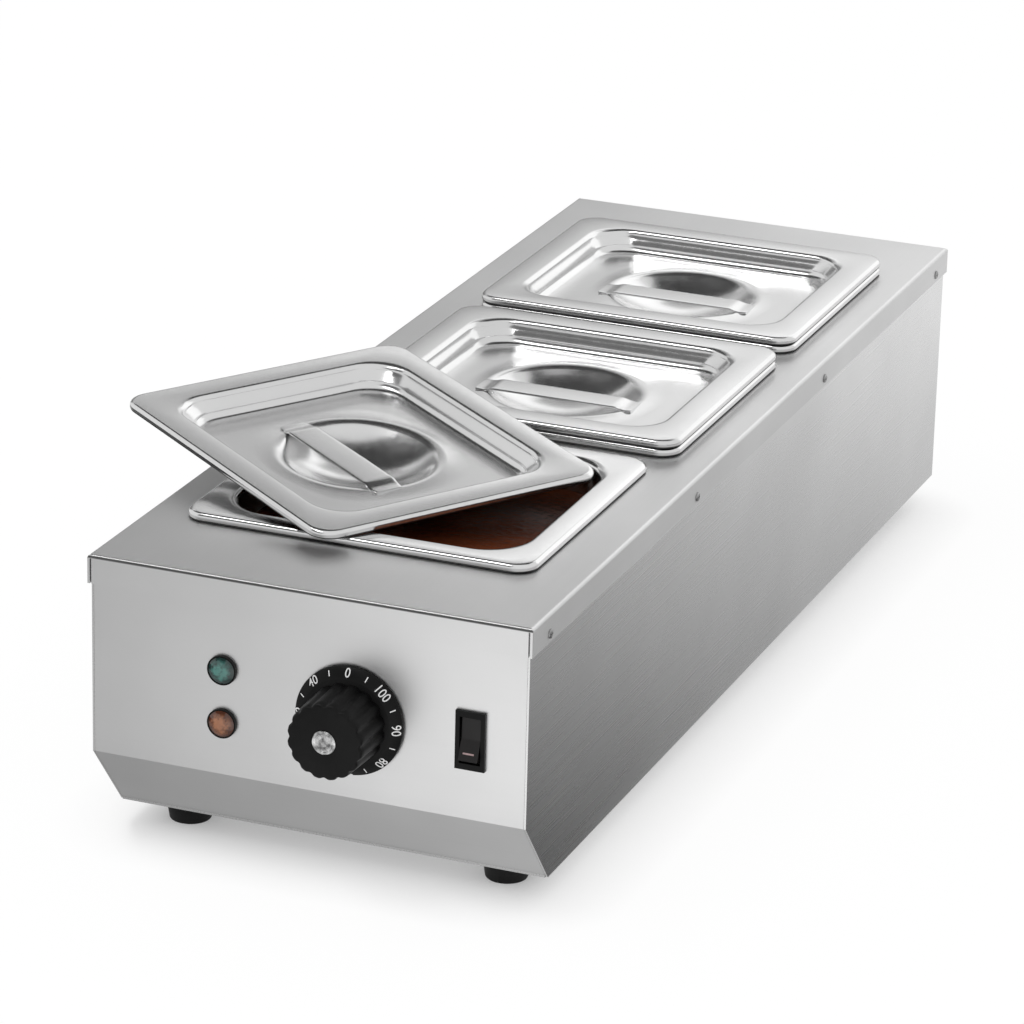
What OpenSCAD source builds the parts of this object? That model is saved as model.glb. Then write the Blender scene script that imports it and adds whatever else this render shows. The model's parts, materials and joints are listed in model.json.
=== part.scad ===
// Countertop chocolate melting tank: a long steel housing with a heated well, three lift-out pans
// and their pressed lids. The origin is the centre of the base's raised panel, on its underside.
// X points to the right, Y to the back and Z up. Lengths are in millimetres.

/* [Housing] */
// Width of the cover beside the pans' rims
side_deck = 22; // [19:0.5:32]
// Distance from the front of the cover to the first pan's rim
front_deck = 60; // [58:1:70]
// Distance from the last pan's rim to the back of the cover
back_deck = 56; // [52:1:80]
// Height from the housing's lower edge to the top of the cover
body_h = 134; // [128:1:150]
// Sheet of the top cover
cover_sheet = 1.2; // [1:0.1:1.5]
// Depth of the cover's skirt
skirt_h = 14; // [11:1:18]
// Outer bend radius of the cover's edges
cover_bend_r = 1.7; // [1.6:0.1:3]
// Open seam between two skirts at a corner
seam_w = 0.8; // [0.4:0.1:1.2]
// Gap between the cover and the panels that it sits over
cover_gap = 0.3; // [0.2:0.1:0.5]
// Sheet of the side, front and back panels
sheet = 1; // [0.8:0.1:1.2]
// Height of the slanted part of the front
slant_h = 36; // [28:1:42]
// Depth of the slanted part of the front
slant_d = 30; // [20:1:34]
// Width of the fold along a panel's upright edges
return_w = 12; // [8:1:16]
// Width of the fold along the foot of the front and back panels
foot_fold_w = 10; // [8:1:11]
// Width of the fold along the foot of a side panel
side_fold_w = 40; // [38:1:42]
// Gap between two panels that meet
panel_gap = 0.1; // [0.05:0.05:0.2]

/* [Base] */
// Sheet of the base plate
base_sheet = 1.2; // [1:0.1:1.5]
// Height of the raised panel in the base
base_rise = 1.5; // [1.3:0.1:2]
// Distance of the raised panel from the cover's sides
raised_side = 50; // [47:1:58]
// Distance of the raised panel from the cover's ends
raised_end = 85; // [75:1:110]
// Corner radius of the raised panel
raised_r = 12; // [8:1:16]
// Plain margin of the raised panel beyond a row of vent slots
vent_margin = 30; // [20:1:33]
// Length of a vent slot
vent_l = 40; // [20:1:44]
// Width of a vent slot
vent_w = 4; // [3:0.5:6]
// Distance between vent slots
vent_pitch = 44; // [20:1:46]
// Distance of each vent row from the middle
vent_x = 30; // [26:1:32]

/* [Feet] */
// Height of a rubber foot
foot_h = 12; // [9:1:20]
// Radius of a foot at its top
foot_top_r = 12; // [10:0.5:13]
// Radius of a foot at the floor
foot_low_r = 10; // [8:0.5:11]
// Distance of a foot's centre from the side of the cover
foot_inset_x = 29; // [27:1:31]
// Distance of a foot's centre from the end of the cover
foot_inset_y = 50; // [49:1:60]
// Radius of a foot screw
foot_screw_r = 2; // [1.5:0.1:2.5]
// Radius of a foot screw's head
foot_head_r = 3.8; // [3.2:0.1:4.5]
// Height of a foot screw's head
foot_head_h = 2.6; // [2:0.1:3]
// Depth of the recess in a foot
foot_recess_h = 6; // [4:0.5:7]

/* [Pans] */
// Width of a pan over its rim
pan_w = 176; // [172:1:180]
// Length of a pan over its rim, along the row
pan_d = 162; // [158:1:166]
// Gap between the rims of two pans
pan_space = 14; // [12:1:20]
// Room between a pan and the heated well's floor
pan_room = 7.5; // [5:0.5:12]
// Sheet of a pan
pan_sheet = 0.8; // [0.6:0.1:1]
// Height of the turned-down rim
rim_h = 4; // [3:0.5:6]
// Corner radius of the rim
rim_r = 11; // [8:1:16]
// Outer bend radius of the rim
rim_bend_r = 2; // [1.5:0.1:2.5]
// Width of the rim round a pan's mouth
rim_w = 14; // [13:0.5:16]
// Corner radius of the mouth
mouth_r = 26; // [24:1:32]
// Bend radius under the rim
mouth_bend_r = 2; // [1:0.1:3]
// Inward lean of a pan's wall, over its depth
pan_taper = 4; // [2:0.5:6]
// Radius between wall and floor inside a pan
pan_fillet_r = 12; // [8:1:16]
// Sideways slip of a pan in its loose seat
pan_slip = 3; // [0:0.5:4]
// Gap between parts that lift out and their seats
seat_gap = 0.3; // [0.2:0.1:0.4]
// Chocolate's depth below the rim
choc_drop = 18; // [18:1:50]
// Gap between the chocolate and the pan
choc_gap = 0.3; // [0.2:0.1:0.5]

/* [Lids] */
// Sheet of a lid
lid_sheet = 0.8; // [0.6:0.1:1]
// Height of a lid's turned-down edge
lid_lip_h = 4; // [3:0.5:6]
// Outer bend radius of a lid's edge
lid_bend_r = 2; // [1.5:0.1:2.5]
// Gap between the well pressed into a lid and the wall of the mouth
well_play = 2.2; // [1.8:0.1:4]
// Amount by which the well's corners are tighter than the mouth's
well_corner = 2; // [1:0.5:4]
// Depth of the well
well_h = 11; // [9:0.5:12]
// Bend radius at the top of the well
well_bend_r = 2; // [1:0.1:3]
// Inward lean of the well's wall
well_taper = 3; // [1:0.5:4]
// Radius between the well's wall and its floor
well_fillet_r = 4; // [2:0.5:5]
// Radius of the round dish under the handle
dish_r = 38; // [34:1:42]
// Depth of the dish
dish_h = 12; // [9:0.5:13]
// Width of the strap handle
strap_w = 17; // [14:1:20]
// Distance of the strap in front of the dish's centre
strap_fore = 11; // [0:1:13]
// Thickness of the strap handle
strap_t = 1.2; // [1:0.1:2]
// Height that the strap stands above the well's floor
strap_rise = 1.2; // [0.5:0.1:4]
// Length of the strap's welded ends
strap_tab = 4; // [3:0.5:8]
// Length of the strap's bend
strap_bend_l = 6; // [4:0.5:8]
// Sideways place of the askew lid, from its pan's centre
askew_x = -41; // [-43:0.5:-41]
// Lengthwise place of the askew lid, from its pan's centre
askew_y = 22; // [21:0.5:22]
// Gap between the askew lid's well, at its centre, and the rim of its pan
askew_gap = 0.45; // [0.4:0.05:1.5]
// Turn of the askew lid
askew_turn = -32.5; // [-33:0.5:-32]
// Backward tilt of the askew lid
askew_pitch = 2.8; // [2.6:0.1:2.9]
// Sideways tilt of the askew lid
askew_roll = 4.4; // [4.3:0.1:4.6]

/* [Heated well] */
// Sheet of the heated well
tank_sheet = 1; // [0.8:0.1:1.2]
// Height of the well's underside above the housing's lower edge
under_room = 29.8; // [26:0.1:36]
// Room between the cut-outs and the well's side walls
tank_side = 5; // [3:0.5:6.5]
// Room between the outer cut-outs and the well's end walls
tank_end = 7; // [5:0.5:8]
// Corner radius of the well
tank_r = 20; // [16:1:24]
// Radius between the well's wall and its floor
tank_fillet_r = 8; // [5:1:12]
// Bend radius under the well's flange
tank_bend_r = 2; // [1:0.1:3]
// Width of the well's flange
tank_flange_w = 12; // [8:1:13]
// Room between a pan's wall and its cut-out, across
cut_play_x = 4.2; // [4.1:0.1:5]
// Room between a pan's wall and its cut-out, along
cut_play_y = 2.2; // [1.5:0.1:3]

/* [Heating element] */
// Radius of the element's tube
heater_r = 3.25; // [2.5:0.25:4]
// Distance of each leg from the middle
heater_x = 40; // [30:1:44]
// Distance of the element's front end and bend from the well's ends
heater_end = 14; // [8:1:24]
// Gap between the element and what it lies against
heater_gap = 0.2; // [0.1:0.1:0.4]
// Radius of a terminal pin
heater_pin_r = 1.5; // [1:0.1:2]
// Length of a terminal pin
heater_pin_l = 14; // [8:1:16]
// Number of clamp bars
clamp_count = 3; // [2:1:4]
// Distance between clamp bars
clamp_pitch = 150; // [120:1:160]
// Width of a clamp bar
clamp_w = 14; // [11:1:18]
// Thickness of a clamp bar
clamp_t = 1.5; // [1:0.1:2]
// Reach of a clamp bar past the element
clamp_reach = 3; // [1:0.5:6]
// Radius of a stud on the well
stud_r = 2.5; // [2:0.1:2.5]
// Radius across a nut's corners
nut_r = 4.6; // [4:0.1:5]
// Height of a nut
nut_h = 4; // [3:0.2:4]
// Length of the stud past its nut
stud_tail = 1; // [0.5:0.1:1.5]
// Clearance of a screw or stud in its hole
screw_gap = 0.15; // [0.1:0.05:0.2]

/* [Controls] */
// Height of the controls' centre line above the housing's lower edge
control_z = 75; // [70:1:80]
// Sideways place of the knob
knob_x = 22; // [18:1:24]
// Sideways place of the lamps
lamp_x = -42; // [-50:1:-40]
// Height of each lamp from the centre line
lamp_rise = 13.2; // [12:0.1:15]
// Distance of the switch from the cover's side
switch_inset = 29; // [27:1:32]
// Radius of the dial ring
dial_r = 26.5; // [25:0.5:30]
// Thickness of the dial ring
dial_t = 5; // [4.5:0.1:6]
// Thickness of the dial ring at its rim
dial_rim_t = 2; // [1.5:0.1:2.5]
// Width of the dial ring's bevel
dial_bevel_w = 5; // [3:0.5:6]
// Gap between the dial ring and the panel
dial_gap = 0.8; // [0.5:0.1:1.2]
// Radius of the recess behind the dial ring
dial_recess_r = 20; // [19:0.5:21]
// Depth of the recess behind the dial ring
dial_recess_h = 2.6; // [2.2:0.1:3]
// Radius of the knob's grip at its foot
grip_r = 19.5; // [18:0.5:20.5]
// Radius of the grip at its front
grip_front_r = 18.5; // [17:0.5:19]
// Length of the grip
grip_l = 25; // [20:1:28]
// Number of flutes round the grip
flute_count = 16; // [12:1:20]
// Radius of a flute
flute_r = 2.4; // [1.8:0.1:2.8]
// Depth of a flute in the grip's foot
flute_h = 1.2; // [0.8:0.1:1.4]
// Radius of the metal cap
cap_r = 5.8; // [5:0.1:7]
// Thickness of the metal cap
cap_t = 1.2; // [1:0.1:1.6]
// Depth that the cap is let into the grip
cap_seat_h = 0.7; // [0.5:0.1:0.9]
// Radius of the thermostat's spindle
spindle_r = 3; // [2.5:0.1:3.2]
// Depth of the flat on the spindle
spindle_flat = 1.2; // [0.8:0.1:1.5]
// Length of spindle inside the knob
spindle_grip_l = 18; // [14:0.5:18]
// Length of spindle inside the thermostat
spindle_bore_l = 10; // [8:0.5:14]
// Running clearance of the spindle
spindle_run = 0.06; // [0.03:0.01:0.09]
// Clearance between pieces of the knob
knob_fit = 0.1; // [0.05:0.05:0.15]
// Radius of the spindle's hole in the panel
spindle_hole_r = 6; // [5:0.5:7]

/* [Thermostat] */
// Width of the thermostat
stat_w = 36; // [32:1:40]
// Depth of the thermostat
stat_d = 26; // [22:1:27]
// Height of the thermostat
stat_h = 42; // [36:1:46]
// Width of the thermostat's bracket
stat_bracket_w = 44; // [40:1:48]
// Height of the thermostat's bracket
stat_bracket_h = 18; // [14:1:22]
// Thickness of the thermostat's bracket
stat_bracket_t = 1.2; // [1:0.1:1.5]
// Distance between the thermostat's screws
stat_screw_pitch = 28; // [26:1:30]
// Radius of a thermostat screw
stat_screw_r = 1.5; // [1.2:0.1:1.8]
// Radius of a thermostat screw's head
stat_head_r = 2.8; // [2.4:0.1:3.2]
// Height of a thermostat screw's head
stat_head_h = 1.6; // [1.2:0.1:1.8]
// Length of a thermostat screw
stat_screw_l = 8; // [6:0.5:9]
// Radius of the sensing bulb
bulb_r = 2.5; // [2:0.1:3]
// Length of the sensing bulb
bulb_l = 60; // [40:1:80]
// Sheet of the bulb's clip
clip_t = 0.8; // [0.6:0.1:1]
// Width of the bulb's clip
clip_w = 12; // [8:1:16]
// Length of each ear of the bulb's clip
clip_ear = 6; // [4:0.5:7]
// Radius of the capillary tube
capillary_r = 1; // [0.8:0.1:1.2]
// Distance of the capillary's rise behind the thermostat
capillary_run = 14; // [10:1:18]

/* [Lamps] */
// Radius of a lamp's bezel
bezel_r = 7.2; // [7:0.1:8.5]
// Thickness of a lamp's bezel
bezel_t = 1.8; // [1.7:0.1:2.5]
// Radius of a lamp's lens
lens_r = 6.5; // [5.5:0.1:6.6]
// Height of a lens's dome
dome_h = 2.4; // [1.5:0.1:3]
// Length of the lens inside its bezel
lens_seat_l = 1.4; // [1:0.1:1.5]
// Radius of a lamp's body
lamp_body_r = 6.3; // [6.2:0.1:6.6]
// Length of a lamp's body behind the panel
lamp_body_l = 18; // [14:1:24]
// Radius across a lamp nut's corners
lamp_nut_r = 9; // [8.5:0.1:10]
// Height of a lamp nut
lamp_nut_h = 3.5; // [2.5:0.1:5]
// Clearance between a lamp's pieces
lamp_fit = 0.1; // [0.05:0.05:0.2]

/* [Switch] */
// Width of the switch's bezel
switch_w = 14.5; // [14:0.1:16]
// Height of the switch's bezel
switch_h = 28.5; // [27.5:0.1:32]
// Thickness of the bezel
switch_t = 1.6; // [1.2:0.1:2]
// Width of the switch's housing
switch_body_w = 12.4; // [12:0.1:13]
// Height of the switch's housing
switch_body_h = 25.4; // [25:0.1:27]
// Depth of the switch's housing
switch_body_d = 20; // [16:1:24]
// Width of the rocker
rocker_w = 9.6; // [9:0.1:10]
// Radius of the rocker's round ends
rocker_r = 11; // [10.5:0.1:11.2]
// Distance of the rocker's pin behind the panel's face
rocker_pivot = 2; // [1.5:0.1:2.5]
// Height of the rocker's face above its pin, at the middle
rocker_mid = 2.6; // [2.2:0.1:3]
// Height of the rocker's face above its pin, at its ends
rocker_tip = 4.6; // [4:0.1:5]
// Depth of the rocker behind its pin
rocker_back = 4; // [3:0.1:4.5]
// Tilt of the rocker each way
rocker_tilt = 12; // [8:1:14]
// Clearance round the rocker
rocker_gap = 0.35; // [0.3:0.05:0.4]
// Radius of the rocker's pin
pin_r = 1; // [0.8:0.1:1.2]
// Running clearance of the rocker on its pin
pin_run = 0.06; // [0.03:0.01:0.09]
// Number of terminal tabs on the switch
tab_count = 3; // [2:1:3]
// Width of a terminal tab
tab_w = 4.8; // [4:0.1:6]
// Thickness of a terminal tab
tab_t = 0.8; // [0.6:0.1:1]
// Length of a terminal tab
tab_l = 7; // [5:0.5:8]
// Distance between terminal tabs
tab_pitch = 8; // [7:0.5:9]

/* [Cover screws] */
// Screws along each side
cover_screw_count = 4; // [3:1:6]
// Distance of the first screw from the cover's front
cover_screw_start = 21.5; // [18:0.5:30]
// Depth of the screws below the cover's top
cover_screw_drop = 9.5; // [8:0.1:10]
// Radius of a cover screw
cover_screw_r = 1.2; // [1:0.1:1.5]
// Radius of a cover screw's head
cover_head_r = 2.3; // [2:0.1:3]
// Height of a cover screw's head
cover_head_h = 1.2; // [0.8:0.1:1.6]
// Length of a cover screw behind its head
cover_screw_l = 6; // [4:0.5:7]

/* [Cable entry] */
// Distance of the cable gland from the cover's side
gland_inset = 40; // [34:1:50]
// Height of the gland above the housing's lower edge
gland_z = 36; // [30:1:50]
// Radius of the cable's bore
cable_r = 4; // [3:0.25:5]
// Radius of the gland's sleeve
gland_r = 7.5; // [7:0.1:8]
// Radius across the gland's corners
gland_hex_r = 12; // [11:0.5:13]
// Thickness of the gland's hexagon
gland_hex_t = 5; // [4:0.5:7]
// Length of the sleeve on each side of the hexagon
gland_sleeve_l = 10; // [9:0.5:14]
// Length of the gland's cap
gland_cap_l = 13; // [11:0.5:18]
// Radius of the gland's cap
gland_cap_r = 10; // [9.5:0.5:11]
// Radius of the cap's mouth edge
gland_nose_r = 3; // [2:0.5:3.5]
// Height of the gland's lock nut
gland_nut_t = 4.5; // [3.5:0.5:6]
// Clearance between the gland's pieces
gland_fit = 0.1; // [0.05:0.05:0.2]

/* [Wiring] */
// Width of the terminal block
block_w = 44; // [36:1:50]
// Depth of the terminal block
block_d = 18; // [14:1:22]
// Height of the terminal block
block_h = 16; // [12:1:20]
// Distance of the terminal block's front from the well
block_run = 6; // [4:0.5:10]
// Number of clamp screws on the terminal block
block_ways = 3; // [2:1:4]
// Radius of a clamp screw's hole
block_hole_r = 2.2; // [1.5:0.1:2.6]
// Depth of a clamp screw's hole
block_hole_h = 6; // [4:0.5:8]
// Radius of the wiring loom
loom_r = 3.2; // [2.5:0.1:4]
// Height of the loom above the housing's lower edge
loom_z = 13; // [11:0.5:15]
// Distance of the loom from a side panel
loom_inset = 15; // [10:1:17]

/* [Hidden] */

$fn = 48;
// Overrun of a cut past the face that it opens
over = 0.5;
// Straight steps in a sheet's bend
bend_steps = 6;

// Plan of the pans and lids, with the first pan slipped to the left and the others to the right
pan_slips = [-pan_slip, pan_slip, pan_slip];
pan_count = len(pan_slips);
pan_pitch = pan_d + pan_space;
mouth_w = pan_w - 2 * rim_w;
mouth_d = pan_d - 2 * rim_w;
lid_w = pan_w;
lid_d = pan_d;
lid_r = rim_r;
well_w = mouth_w - 2 * (lid_sheet + well_play);
well_d = mouth_d - 2 * (lid_sheet + well_play);
well_r = mouth_r - well_corner;

// Heights
base_low = -base_rise;
base_top = base_low + base_sheet;
cover_top = base_low + body_h;
cover_under = cover_top - cover_sheet;
panel_top = cover_top - cover_bend_r - cover_gap;
rim_low = cover_top + seat_gap;
rim_top = rim_low + rim_h;
lid_top = rim_top + seat_gap + lid_lip_h;
askew_z = well_h + lid_sheet + askew_gap;
tank_low = base_low + under_room;
tank_floor = tank_low + tank_sheet;
tank_h = cover_under - tank_floor;
pan_depth = rim_top - tank_floor - pan_room;
control_height = base_low + control_z;

// Housing outlines
cover_w = pan_w + 2 * side_deck;
cover_l = front_deck + (pan_count - 1) * pan_pitch + pan_d + back_deck;
raised_w = cover_w - 2 * raised_side;
raised_l = cover_l - 2 * raised_end;
vent_count = 1 + floor((raised_l - 2 * vent_margin - vent_l) / vent_pitch);
cover_screw_pitch = (cover_l - 2 * cover_screw_start) / (cover_screw_count - 1);
half_w = cover_w / 2 - cover_sheet - cover_gap;
half_l = cover_l / 2 - cover_sheet - cover_gap;
inner_w = half_w - sheet;
face_y = -half_l;
slant_l = norm([slant_d, slant_h]);
slant_foot_y = face_y + slant_d * (1 - base_sheet / slant_h);
foot_x = cover_w / 2 - foot_inset_x;
foot_y = cover_l / 2 - foot_inset_y;

// Pan row and the well under it
pan_ys = [for (i = [0 : pan_count - 1]) -cover_l / 2 + front_deck + pan_d / 2 + i * pan_pitch];
cut_w = mouth_w + 2 * (pan_sheet + cut_play_x);
cut_d = mouth_d + 2 * (pan_sheet + cut_play_y);
cut_r = mouth_r + pan_sheet + cut_play_y;
tank_w = cut_w + 2 * tank_side;
row_y = (pan_ys[0] + pan_ys[pan_count - 1]) / 2;
tank_d = pan_ys[pan_count - 1] - pan_ys[0] + cut_d + 2 * tank_end;
tank_front = row_y - tank_d / 2;
tank_back = row_y + tank_d / 2;

// Heating element
heater_z = tank_low - heater_gap - heater_r;
clamp_top = heater_z - heater_r - heater_gap;
clamp_low = clamp_top - clamp_t;
clamp_ys = [for (i = [0 : clamp_count - 1]) row_y + (i - (clamp_count - 1) / 2) * clamp_pitch];

// Thermostat and sensor
stat_front = face_y + sheet;
stat_back = stat_front + stat_bracket_t + stat_d;
bulb_z = tank_low - heater_gap - bulb_r;
bulb_front = clamp_ys[0] + clamp_w / 2 + bulb_l / 4;
capillary_y = stat_back + capillary_run;

// Knob, measured forward from the panel's face
dial_front = dial_gap + dial_t;
grip_front = dial_front + grip_l;

// Cable entry, switch and wiring
gland_x = gland_inset - cover_w / 2;
switch_x = cover_w / 2 - switch_inset;
gland_height = base_low + gland_z;
block_y = tank_back + tank_sheet + block_run;
loom_x = inner_w - loom_inset;
loom_height = base_low + loom_z;
switch_back = face_y + switch_body_d;

// Small sizes of hidden pieces
clip_seat = 0.1;
strap_seat = 0.05;
loom_end_gap = 0.2;

// Steel and other colours
steel = "gainsboro";
bright = "lightsteelblue";
dark = [0.1, 0.1, 0.11];

// Points along an arc, as a sheet's bend
function arc_points(centre, r, from, to) = [
    for (i = [0 : bend_steps])
        let (a = from + (to - from) * i / bend_steps)
        centre + r * [cos(a), sin(a)]
];

// A flat rounded rectangle
module rounded_rect(w, d, r) {
    square([w - 2 * r, d], center = true);
    square([w, d - 2 * r], center = true);
    for (sx = [-1, 1], sy = [-1, 1])
        translate([sx * (w / 2 - r), sy * (d / 2 - r)])
            circle(r);
}

// A flat slot with round ends
module slot(l, w) {
    square([l - w, w], center = true);
    for (s = [-1, 1])
        translate([s * (l - w) / 2, 0])
            circle(w / 2);
}

// Sweeps a flat profile round a rounded rectangle. The profile's first coordinate is the distance
// from a corner's centre, so the profile meets the rectangle at r.
module swept_round(w, d, r) {
    for (k = [0 : 3]) {
        along = k % 2 == 0 ? [w, d] : [d, w];
        rotate(90 * k)
            translate([along[0] / 2 - r, along[1] / 2 - r, 0]) {
                rotate_extrude(angle = 90)
                    children();
                rotate([90, 0, 0])
                    linear_extrude(along[1] - 2 * r)
                        children();
            }
    }
}

// Sheet profile of a turned-down edge, from a flat at height zero
module lip_profile(r, bend, t, h) {
    centre = [r - bend, -bend];
    polygon(concat(
        arc_points(centre, bend, 90, 0),
        [[r, -h], [r - t, -h]],
        arc_points(centre, bend - t, 0, 90)
    ));
}

// Sheet profile of a drawn wall, from a flat at height zero down to a floor
module wall_profile(r, bend, t, depth, taper, fillet) {
    turn = bend + t;
    top = [r + turn, -turn];
    floor_z = t - depth;
    low = [r - taper - fillet, floor_z + fillet];
    polygon(concat(
        arc_points(top, turn, 90, 180),
        arc_points(low, fillet, 0, -90),
        arc_points(low, fillet + t, -90, 0),
        arc_points(top, bend, 180, 90)
    ));
}

// A hexagon nut with a round hole, lying on height zero
module hex_nut(r, h, hole_r) {
    linear_extrude(h)
        difference() {
            circle(r, $fn = 6);
            circle(hole_r);
        }
}

// A tube through points, with ball joints at its bends
module tube_through(points, r) {
    for (i = [0 : len(points) - 2]) {
        step = points[i + 1] - points[i];
        translate(points[i])
            rotate([0, acos(step[2] / norm(step)), atan2(step[1], step[0])])
                cylinder(r = r, h = norm(step));
    }
    for (i = [1 : len(points) - 2])
        translate(points[i])
            sphere(r);
}

// Places what faces the user: local Z points forward out of the front panel
module on_front(x, height) {
    translate([x, face_y, height])
        rotate([90, 0, 0])
            children();
}

// Places a copy at each foot
module at_feet() {
    for (sx = [-1, 1], sy = [-1, 1])
        translate([sx * foot_x, sy * foot_y, 0])
            children();
}

// Places a copy at each cover screw, with local Z pointing outwards from the side
module at_cover_screws(side) {
    for (i = [0 : cover_screw_count - 1])
        translate([
            side * cover_w / 2,
            -cover_l / 2 + cover_screw_start + i * cover_screw_pitch,
            cover_top - cover_screw_drop
        ])
            rotate([0, side * 90, 0])
                children();
}

// A box open below with bent upper edges, reaching down from height zero
module folded_box(w, l, h, r) {
    intersection() {
        rotate([90, 0, 0])
            linear_extrude(l, center = true)
                folded_profile(w, h, r);
        rotate([90, 0, 90])
            linear_extrude(w, center = true)
                folded_profile(l, h, r);
    }
}

module folded_profile(w, h, r) {
    translate([-w / 2, -h])
        square([w, h - r]);
    translate([r - w / 2, -h])
        square([w - 2 * r, h]);
    for (s = [-1, 1])
        translate([s * (w / 2 - r), -r])
            circle(r);
}

module top_cover() {
    color(steel)
        difference() {
            translate([0, 0, cover_top])
                folded_box(cover_w, cover_l, skirt_h, cover_bend_r);
            translate([0, 0, cover_under])
                folded_box(
                    cover_w - 2 * cover_sheet,
                    cover_l - 2 * cover_sheet,
                    skirt_h,
                    cover_bend_r - cover_sheet
                );
            for (y = pan_ys)
                translate([0, y, cover_under - over])
                    linear_extrude(cover_sheet + 2 * over)
                        rounded_rect(cut_w, cut_d, cut_r);
            for (sx = [-1, 1], sy = [-1, 1])
                translate([
                    sx * (cover_w / 2 - cover_sheet - seam_w / 2),
                    sy * (cover_l / 2 - cover_sheet / 2),
                    cover_top - skirt_h / 2 - cover_bend_r
                ])
                    cube([seam_w, cover_sheet + 2 * over, skirt_h], center = true);
            for (side = [-1, 1])
                at_cover_screws(side)
                    translate([0, 0, -cover_sheet - over])
                        cylinder(r = cover_screw_r + screw_gap, h = cover_sheet + 2 * over);
        }
}

module cover_screws() {
    color("silver")
        for (side = [-1, 1])
            at_cover_screws(side) {
                cylinder(r = cover_head_r, h = cover_head_h);
                translate([0, 0, -cover_screw_l])
                    cylinder(r = cover_screw_r, h = cover_screw_l);
            }
}

// The front sheet's outline from the side: upright face, slant and fold at its foot
module front_profile() {
    slant_in = sheet * slant_l / slant_d;
    fold_top = base_top + sheet;
    polygon([
        [face_y, panel_top],
        [face_y, base_low + slant_h],
        [slant_foot_y, base_top],
        [slant_foot_y + foot_fold_w, base_top],
        [slant_foot_y + foot_fold_w, fold_top],
        [face_y + slant_d * (1 - (fold_top - base_low) / slant_h) + sheet * slant_l / slant_h, fold_top],
        [face_y + sheet, base_low + slant_h - sheet * slant_h / slant_d + slant_in],
        [face_y + sheet, panel_top]
    ]);
}

module front_panel() {
    half = inner_w - panel_gap;
    color(steel)
        difference() {
            union() {
                rotate([90, 0, 90])
                    linear_extrude(2 * half, center = true)
                        front_profile();
                for (s = [-1, 1])
                    translate([
                        s * (half - sheet / 2),
                        face_y + return_w / 2,
                        (base_low + slant_h + sheet + panel_top) / 2
                    ])
                        cube([sheet, return_w, panel_top - base_low - slant_h - sheet], center = true);
            }
            on_front(knob_x, control_height)
                panel_hole(spindle_hole_r);
            for (s = [-1, 1])
                on_front(knob_x + s * stat_screw_pitch / 2, control_height)
                    panel_hole(stat_screw_r + screw_gap);
            for (s = [-1, 1])
                on_front(lamp_x, control_height + s * lamp_rise)
                    panel_hole(lamp_body_r + lamp_fit);
            on_front(switch_x, control_height)
                cube([
                    switch_body_w + 2 * panel_gap,
                    switch_body_h + 2 * panel_gap,
                    2 * (sheet + over)
                ], center = true);
        }
}

module panel_hole(r) {
    cylinder(r = r, h = 2 * (sheet + over), center = true);
}

// A side panel: the sheet and the fold along its foot
module side_panel(side) {
    fold_front = slant_foot_y + foot_fold_w + panel_gap;
    fold_back = half_l - foot_fold_w - panel_gap;
    difference() {
        union() {
            translate([side * (half_w - sheet / 2), 0, 0])
                rotate([90, 0, 90])
                    linear_extrude(sheet, center = true)
                        polygon([
                            [face_y, base_low + slant_h],
                            [face_y + slant_d, base_low],
                            [half_l, base_low],
                            [half_l, panel_top],
                            [face_y, panel_top]
                        ]);
            translate([
                side * (half_w - side_fold_w / 2),
                (fold_front + fold_back) / 2,
                base_top + sheet / 2
            ])
                cube([side_fold_w, fold_back - fold_front, sheet], center = true);
        }
        at_cover_screws(side)
            translate([0, 0, -cover_screw_l - over])
                cylinder(r = cover_screw_r + screw_gap, h = cover_screw_l + over);
        at_feet()
            translate([0, 0, base_low])
                cylinder(r = foot_screw_r + screw_gap, h = base_sheet + sheet + over);
    }
}

module left_side_panel() {
    color(steel)
        side_panel(-1);
}

module right_side_panel() {
    color(steel)
        side_panel(1);
}

module back_panel() {
    half = inner_w - panel_gap;
    height = panel_top - base_top;
    color(steel)
        difference() {
            union() {
                translate([-half, half_l - sheet, base_top])
                    cube([2 * half, sheet, height]);
                translate([-half, half_l - foot_fold_w, base_top])
                    cube([2 * half, foot_fold_w, sheet]);
                for (s = [-1, 1])
                    translate([
                        s * (half - sheet / 2),
                        half_l - return_w / 2,
                        (base_top + sheet + panel_top) / 2
                    ])
                        cube([sheet, return_w, height - sheet], center = true);
            }
            translate([gland_x, half_l, gland_height])
                rotate([90, 0, 0])
                    panel_hole(gland_r + gland_fit);
        }
}

module base_plate() {
    half = inner_w - panel_gap;
    color(steel)
        difference() {
            union() {
                translate([-half, slant_foot_y, base_low])
                    cube([2 * half, half_l - slant_foot_y, base_sheet]);
                translate([0, 0, base_low])
                    linear_extrude(base_rise + base_sheet)
                        rounded_rect(raised_w, raised_l, raised_r);
            }
            translate([0, 0, base_low - over])
                linear_extrude(base_rise + over)
                    rounded_rect(
                        raised_w - 2 * base_sheet,
                        raised_l - 2 * base_sheet,
                        raised_r - base_sheet
                    );
            for (sx = [-1, 1], i = [0 : vent_count - 1])
                translate([sx * vent_x, (i - (vent_count - 1) / 2) * vent_pitch, -over])
                    linear_extrude(base_sheet + 2 * over)
                        slot(vent_l, vent_w);
            at_feet()
                translate([0, 0, base_low - over])
                    cylinder(r = foot_screw_r + screw_gap, h = base_sheet + 2 * over);
        }
}

module rubber_feet() {
    color(dark)
        at_feet()
            translate([0, 0, base_low - foot_h])
                rotate_extrude()
                    polygon([
                        [foot_head_r + screw_gap, 0],
                        [foot_low_r, 0],
                        [foot_top_r, foot_h],
                        [foot_screw_r + screw_gap, foot_h],
                        [foot_screw_r + screw_gap, foot_recess_h],
                        [foot_head_r + screw_gap, foot_recess_h]
                    ]);
}

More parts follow.
